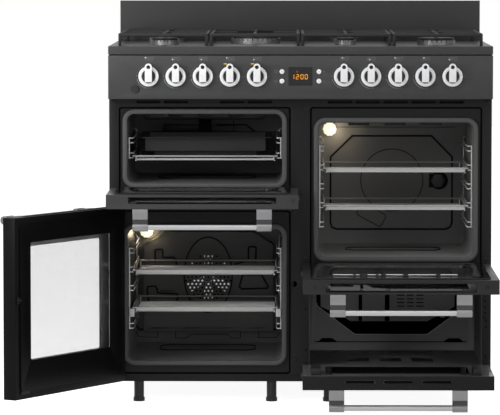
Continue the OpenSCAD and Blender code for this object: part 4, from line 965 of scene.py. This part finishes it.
# ---------------------------------------------------------------------------------------------
# Doors: each a folded steel shell with an outer and an inner pane, and a bar handle on two bright
# brackets. The inner pane has a printed black border round its clear window.
# the doors' inside is one enamel, painted a different grey on each door for its light and shade: lighter on
# the grill door, darker on the fan and storage doors
door_enamel = finish("door enamel", 0.018, 0.38, relief=0.03, gloss=0.12)
grill_door_enamel_painted_lighter = finish("grill door enamel, painted lighter", 0.033, 0.38, relief=0.03, gloss=0.14)
fan_door_enamel_painted_darker = finish("fan door enamel, painted darker", 0.0045, 0.38, relief=0.03, gloss=0.04)
storage_door_enamel_painted_darker = finish("storage door enamel, painted darker", 0.011, 0.38, relief=0.03, gloss=0.08)
door_edge_painted_highlight = finish("painted door edge highlight", (0.105, 0.105, 0.106), 0.35, gloss=0.4)
fan_black = finish("black printed glass of the fan door", 0.0030, 0.30, relief=0.0,
                   gloss=0.05)
door_black = finish("black printed glass", 0.003, 0.08, relief=0.0, gloss=0.28)
handle_steel = finish("brushed handle steel", (0.30, 0.30, 0.305), 0.30, metal=1.0, grain=260,
                      relief=0.10, stretch=(0.02, 6, 6))
bracket_steel = finish("satin bracket", (0.17, 0.17, 0.175), 0.36, metal=1.0, grain=500)
# the brackets' necks are painted dark: painted shade in the concave neck
neck_painted_shade = finish("bracket neck, painted shade", 0.045, 0.4, metal=1.0, grain=500)
see_through = finish("door window glass", 0.90, 0.02, relief=0.0, gloss=0.5, cloud=0.0)
put(see_through.node_tree.nodes["Principled BSDF"], {"Transmission Weight": 1.0, "IOR": 1.45})
inside_painted_lighter = finish("inside of the outer sheet, painted lighter", 0.19, 0.6, gloss=0.2)
hinge_y, handle_y = -0.29, -0.347
along_x = (0, math.pi / 2, 0)


def hang(piece, door):
    """Turns a piece made on the closed door to where that door stands open."""
    alone(piece)
    if door == "fan_door":
        bpy.ops.transform.rotate(value=math.radians(121.5), orient_axis="Z",
                                 center_override=(-0.485, hinge_y, 0))
    else:
        pin = {"grill_door": 0.539, "main_door": 0.341, "storage_door": 0.075}[door]
        bpy.ops.transform.rotate(value=-math.radians(90), orient_axis="X",
                                 center_override=(0, hinge_y, pin))
    bpy.ops.object.transform_apply(location=True, rotation=True, scale=True)
    return piece


for door, x, z0, h, shell, glass, enamel in (
        ("grill_door", -0.25, 0.524, 0.2725, "grill_door_shell", "grill_door_glass", grill_door_enamel_painted_lighter),
        ("fan_door", -0.25, 0.060, 0.4575, "fan_door_shell", "fan_door_glass", fan_door_enamel_painted_darker),
        ("main_door", 0.25, 0.326, 0.4705, "main_door_shell", "main_door_glass", door_enamel),
        ("storage_door", 0.25, 0.060, 0.257, "storage_door_panel", "", storage_door_enamel_painted_darker)):
    folded = eased_copy(shell, shell + "_folded", 0)
    if door == "main_door":
        slot = cut_sheet("slot", corners(0.0622, 0.4378, -0.2945, -0.2870), z0 + h - 0.006, 0.010, "Z")
        carve(folded, [hang(slot, door)])
    soften(folded, 0.0009, 2)
    # the outside keeps the cooker's anthracite, and the storage door's upward inside faces the lighter liner
    # enamel, painted light on that shaded inside
    outward = (-0.853, 0.522, 0) if door == "fan_door" else (0, 0, -1)

    def door_coat(face):
        """Which of a door's three finishes a face has."""
        facing_out = sum(face.normal[i] * outward[i] for i in range(3))
        if door == "storage_door" and facing_out < -0.9 and face.center.z < 0.108:
            return 2
        return facing_out > 0.9

    coat_by(folded, (enamel, anthracite, liner_enamel), door_coat)
    settle(folded, None, door, (shell,))
    # a painted highlight: a lighter line along the outer edge of the top
    line = bent_wires(door + "_edge_highlight", [[(x - 0.2440, -0.2990, z0 + h - 0.0008),
                                             (x + 0.2440, -0.2990, z0 + h - 0.0008)]], 0.0016)
    settle(hang(line, door), door_edge_painted_highlight, door)
    if glass:
        # clear window in a printed border on the inner pane, and a plain outer pane
        low, high, half = z0 + 0.1000, z0 + h - 0.0620, 0.176
        aside = 0.0
        if door == "fan_door":
            low, high, aside = low - 0.0035, high - 0.0020, 0.0055
        corner = 0.004 if door == "fan_door" else 0.022
        mid, tall = (low + high) / 2, high - low
        border = plate(door + "_border", x, z0 + h / 2, 0.449, h - 0.04, 0.008, -0.2638, 0.0036)
        hole = plate("hole", x + aside, mid, half * 2, tall, corner, -0.2700, 0.0150)
        settle(hang(soften(carve(border, [hole]), 0.0004, 2), door), fan_black if aside else door_black,
               door, (glass,))
        inner = plate(door + "_inner_window", x + aside, mid, half * 2 - 0.0004, tall - 0.0004, corner,
                      -0.2634, 0.0006)
        settle(hang(inner, door), see_through, door)
        outer = plate(door + "_outer_pane", x, z0 + (h + 0.014) / 2, 0.378,
                      h - 0.092 - 0.078 + 0.028, 0.006, -0.2978, 0.0036)
        settle(hang(outer, door), see_through, door)
        # a grey lining inside the outer sheet, lighter than the shell: the room's light through the inner
        # pane, painted
        lining = plate(door + "_inner_lining_painted_light", x, z0 + (h + 0.014) / 2, 0.432, h - 0.060, 0.004,
                       -0.2938, 0.0010, 0.0)
        hole = plate("hole", x, z0 + (h + 0.014) / 2, 0.3500, h - 0.170, 0.006, -0.2980, 0.0100)
        settle(hang(soften(carve(lining, [hole]), 0), door), inside_painted_lighter, door)
    # handle: bar, two collars and two necks, made on the closed door and turned open with it
    top = z0 + h - 0.013
    bar = soften(turned(0.0075, 0.316, (x, handle_y, top), 48, along_x), 0)
    bar.name = door + "_bar"
    fittings, necks = [], []
    for side in (-1, 1):
        cx = x + side * (0.177 - 0.0195)
        fittings.append(soften(turned(0.011, 0.039, (cx, handle_y, top), 48, along_x), 0.0012))
        for y0, y1, half, group in ((-0.343, -0.323, 0.008, necks), (-0.327, -0.3, 0.0115, fittings)):
            stock = squared((0.039, y1 - y0, half * 2), (cx, (y0 + y1) / 2, top))
            group.append(soften(stock, 0.0012))
    settle(hang(bar, door), handle_steel, door, (door + "_handle",))
    settle(hang(join(door + "_brackets", fittings), door), bracket_steel, door)
    settle(hang(join(door + "_necks", necks), door), neck_painted_shade, door)

# Screws in the drop-down oven doors' top edges, as seen when they stand open.
for door, places, front in (("grill_door", ((-0.4760, 0.5505), (-0.0185, 0.5505)), -0.5475),
                            ("main_door", ((0.0365, 0.3500), (0.4630, 0.3500)), -0.7455)):
    settle(bolt_heads(door + "_screws", [(x, front + 0.0006, z) for x, z in places], 0.0085, 0.0012),
           black_screw, door)

# Main door: a folded lip narrows the cooling slot, pale patches show inside it, and a thin
# steel clip strip in seven pieces holds the inner pane.
lip = cut_sheet("main_door_slot_lip", corners(0.0620, 0.4380, -0.2726, -0.2696), 0.7930, 0.0030, "Z")
settle(hang(soften(lip, 0), "main_door"), door_enamel, "main_door")
pale_slot_finish = finish("pale slot patches", 0.11, 0.9, grain=500, relief=0.3, gloss=0.05)
pale_patch_outlines = [corners(0.0735, 0.1309, 0.3402, 0.3500),
         corners(0.1309, 0.1478, 0.3402, 0.3546),
         [(0.1558, 0.3402), (0.2123, 0.3402), (0.2123, 0.3454), (0.1807, 0.3465), (0.1633, 0.3546),
          (0.1558, 0.3546)],
         corners(0.2236, 0.3990, 0.3402, 0.3442)]
pale_patches = join("main_door_pale_patches", [cut_sheet("pale_patches", f, -0.7380, 0.003) for f in pale_patch_outlines])
settle(soften(pale_patches, 0), pale_slot_finish, "main_door")
clip_steel = finish("clip strip steel", 0.40, 0.3, metal=1.0)
clips = [[(x0, -0.657, 0.3725), (x1, -0.657, 0.3725)] for x0, x1 in
         ((0.0817, 0.1310), (0.1385, 0.1475), (0.1680, 0.1880), (0.1955, 0.2005), (0.2140, 0.2565),
          (0.2700, 0.3390), (0.3510, 0.3930))]
settle(bent_wires("main_door_clip_strip", clips, 0.0026), clip_steel, "main_door")
arm_steel = finish("hinge arm steel", 0.30, 0.35, metal=0.6)
for door, top, y0, y1 in (("main_door", 0.3628, -0.565, -0.7440), ("storage_door", 0.1012, -0.450, -0.5300)):
    arm = cut_sheet(door + "_hinge_cover", [(0.4860, y0), (0.4935, y0), (0.4935, y1), (0.4800, y1)],
                    top, 0.0010, "Z")
    settle(soften(arm, 0), arm_steel, door)

# Fan oven door: catch plate and clip on the steel edge, seen beside the inner pane.
small = [plate("catch", -0.0165, 0.3108, 0.010, 0.018, 0.003, -0.2615, 0.0015),
         plate("clip", -0.0440, 0.0760, 0.036, 0.007, 0.002, -0.2615, 0.0015)]
settle(hang(join("fan_door_fittings", small), "fan_door"), soft_groove_shade_and_dark_parts, "fan_door")

# Storage door: two coiled dampers stand on its inner face, with ribs across the pressing drawn
# in black as painted shade.
ribs = [[(0.0700, y, 0.1000), (0.4300, y, 0.1000)] for y in (-0.330, -0.380, -0.430, -0.480)]
settle(bent_wires("storage_door_ribs", ribs, 0.0016), black_and_painted_shade, "storage_door")
coils = []
for x in (0.0735, 0.4160):
    coil = []
    for k in range(91):
        a = math.tau * k / 15
        coil.append((x + 0.0056 * math.cos(a), -0.5000 + 0.0056 * math.sin(a), 0.1025 + 0.0200 * k / 90))
    coils.append(coil)
settle(bent_wires("storage_door_dampers", coils, 0.0026, 2), number_dark, "storage_door")
boxes = []
for x0, x1 in ((0.0270, 0.0520), (0.4416, 0.4627)):
    boxes.append(cut_sheet("box", corners(x0, x1, -0.5120, -0.4300),
                           0.1008, 0.018, "Z"))
settle(soften(join("storage_door_hinge_boxes", boxes), 0.0012, 2), door_enamel, "storage_door")
# dark plates in the door's three slots: painted shade
slot_painted_shade = [plate("slot", x, 0.0862, 0.074, 0.0062, 0.0029, -0.5318, 0.0008)
             for x in (0.152, 0.250, 0.348)]
settle(join("storage_door_slot_shade", slot_painted_shade), black_and_painted_shade, "storage_door")

# ---------------------------------------------------------------------------------------------
# Feet: black moulded sleeves over levelling screws.
dress(black_plastic, "feet")
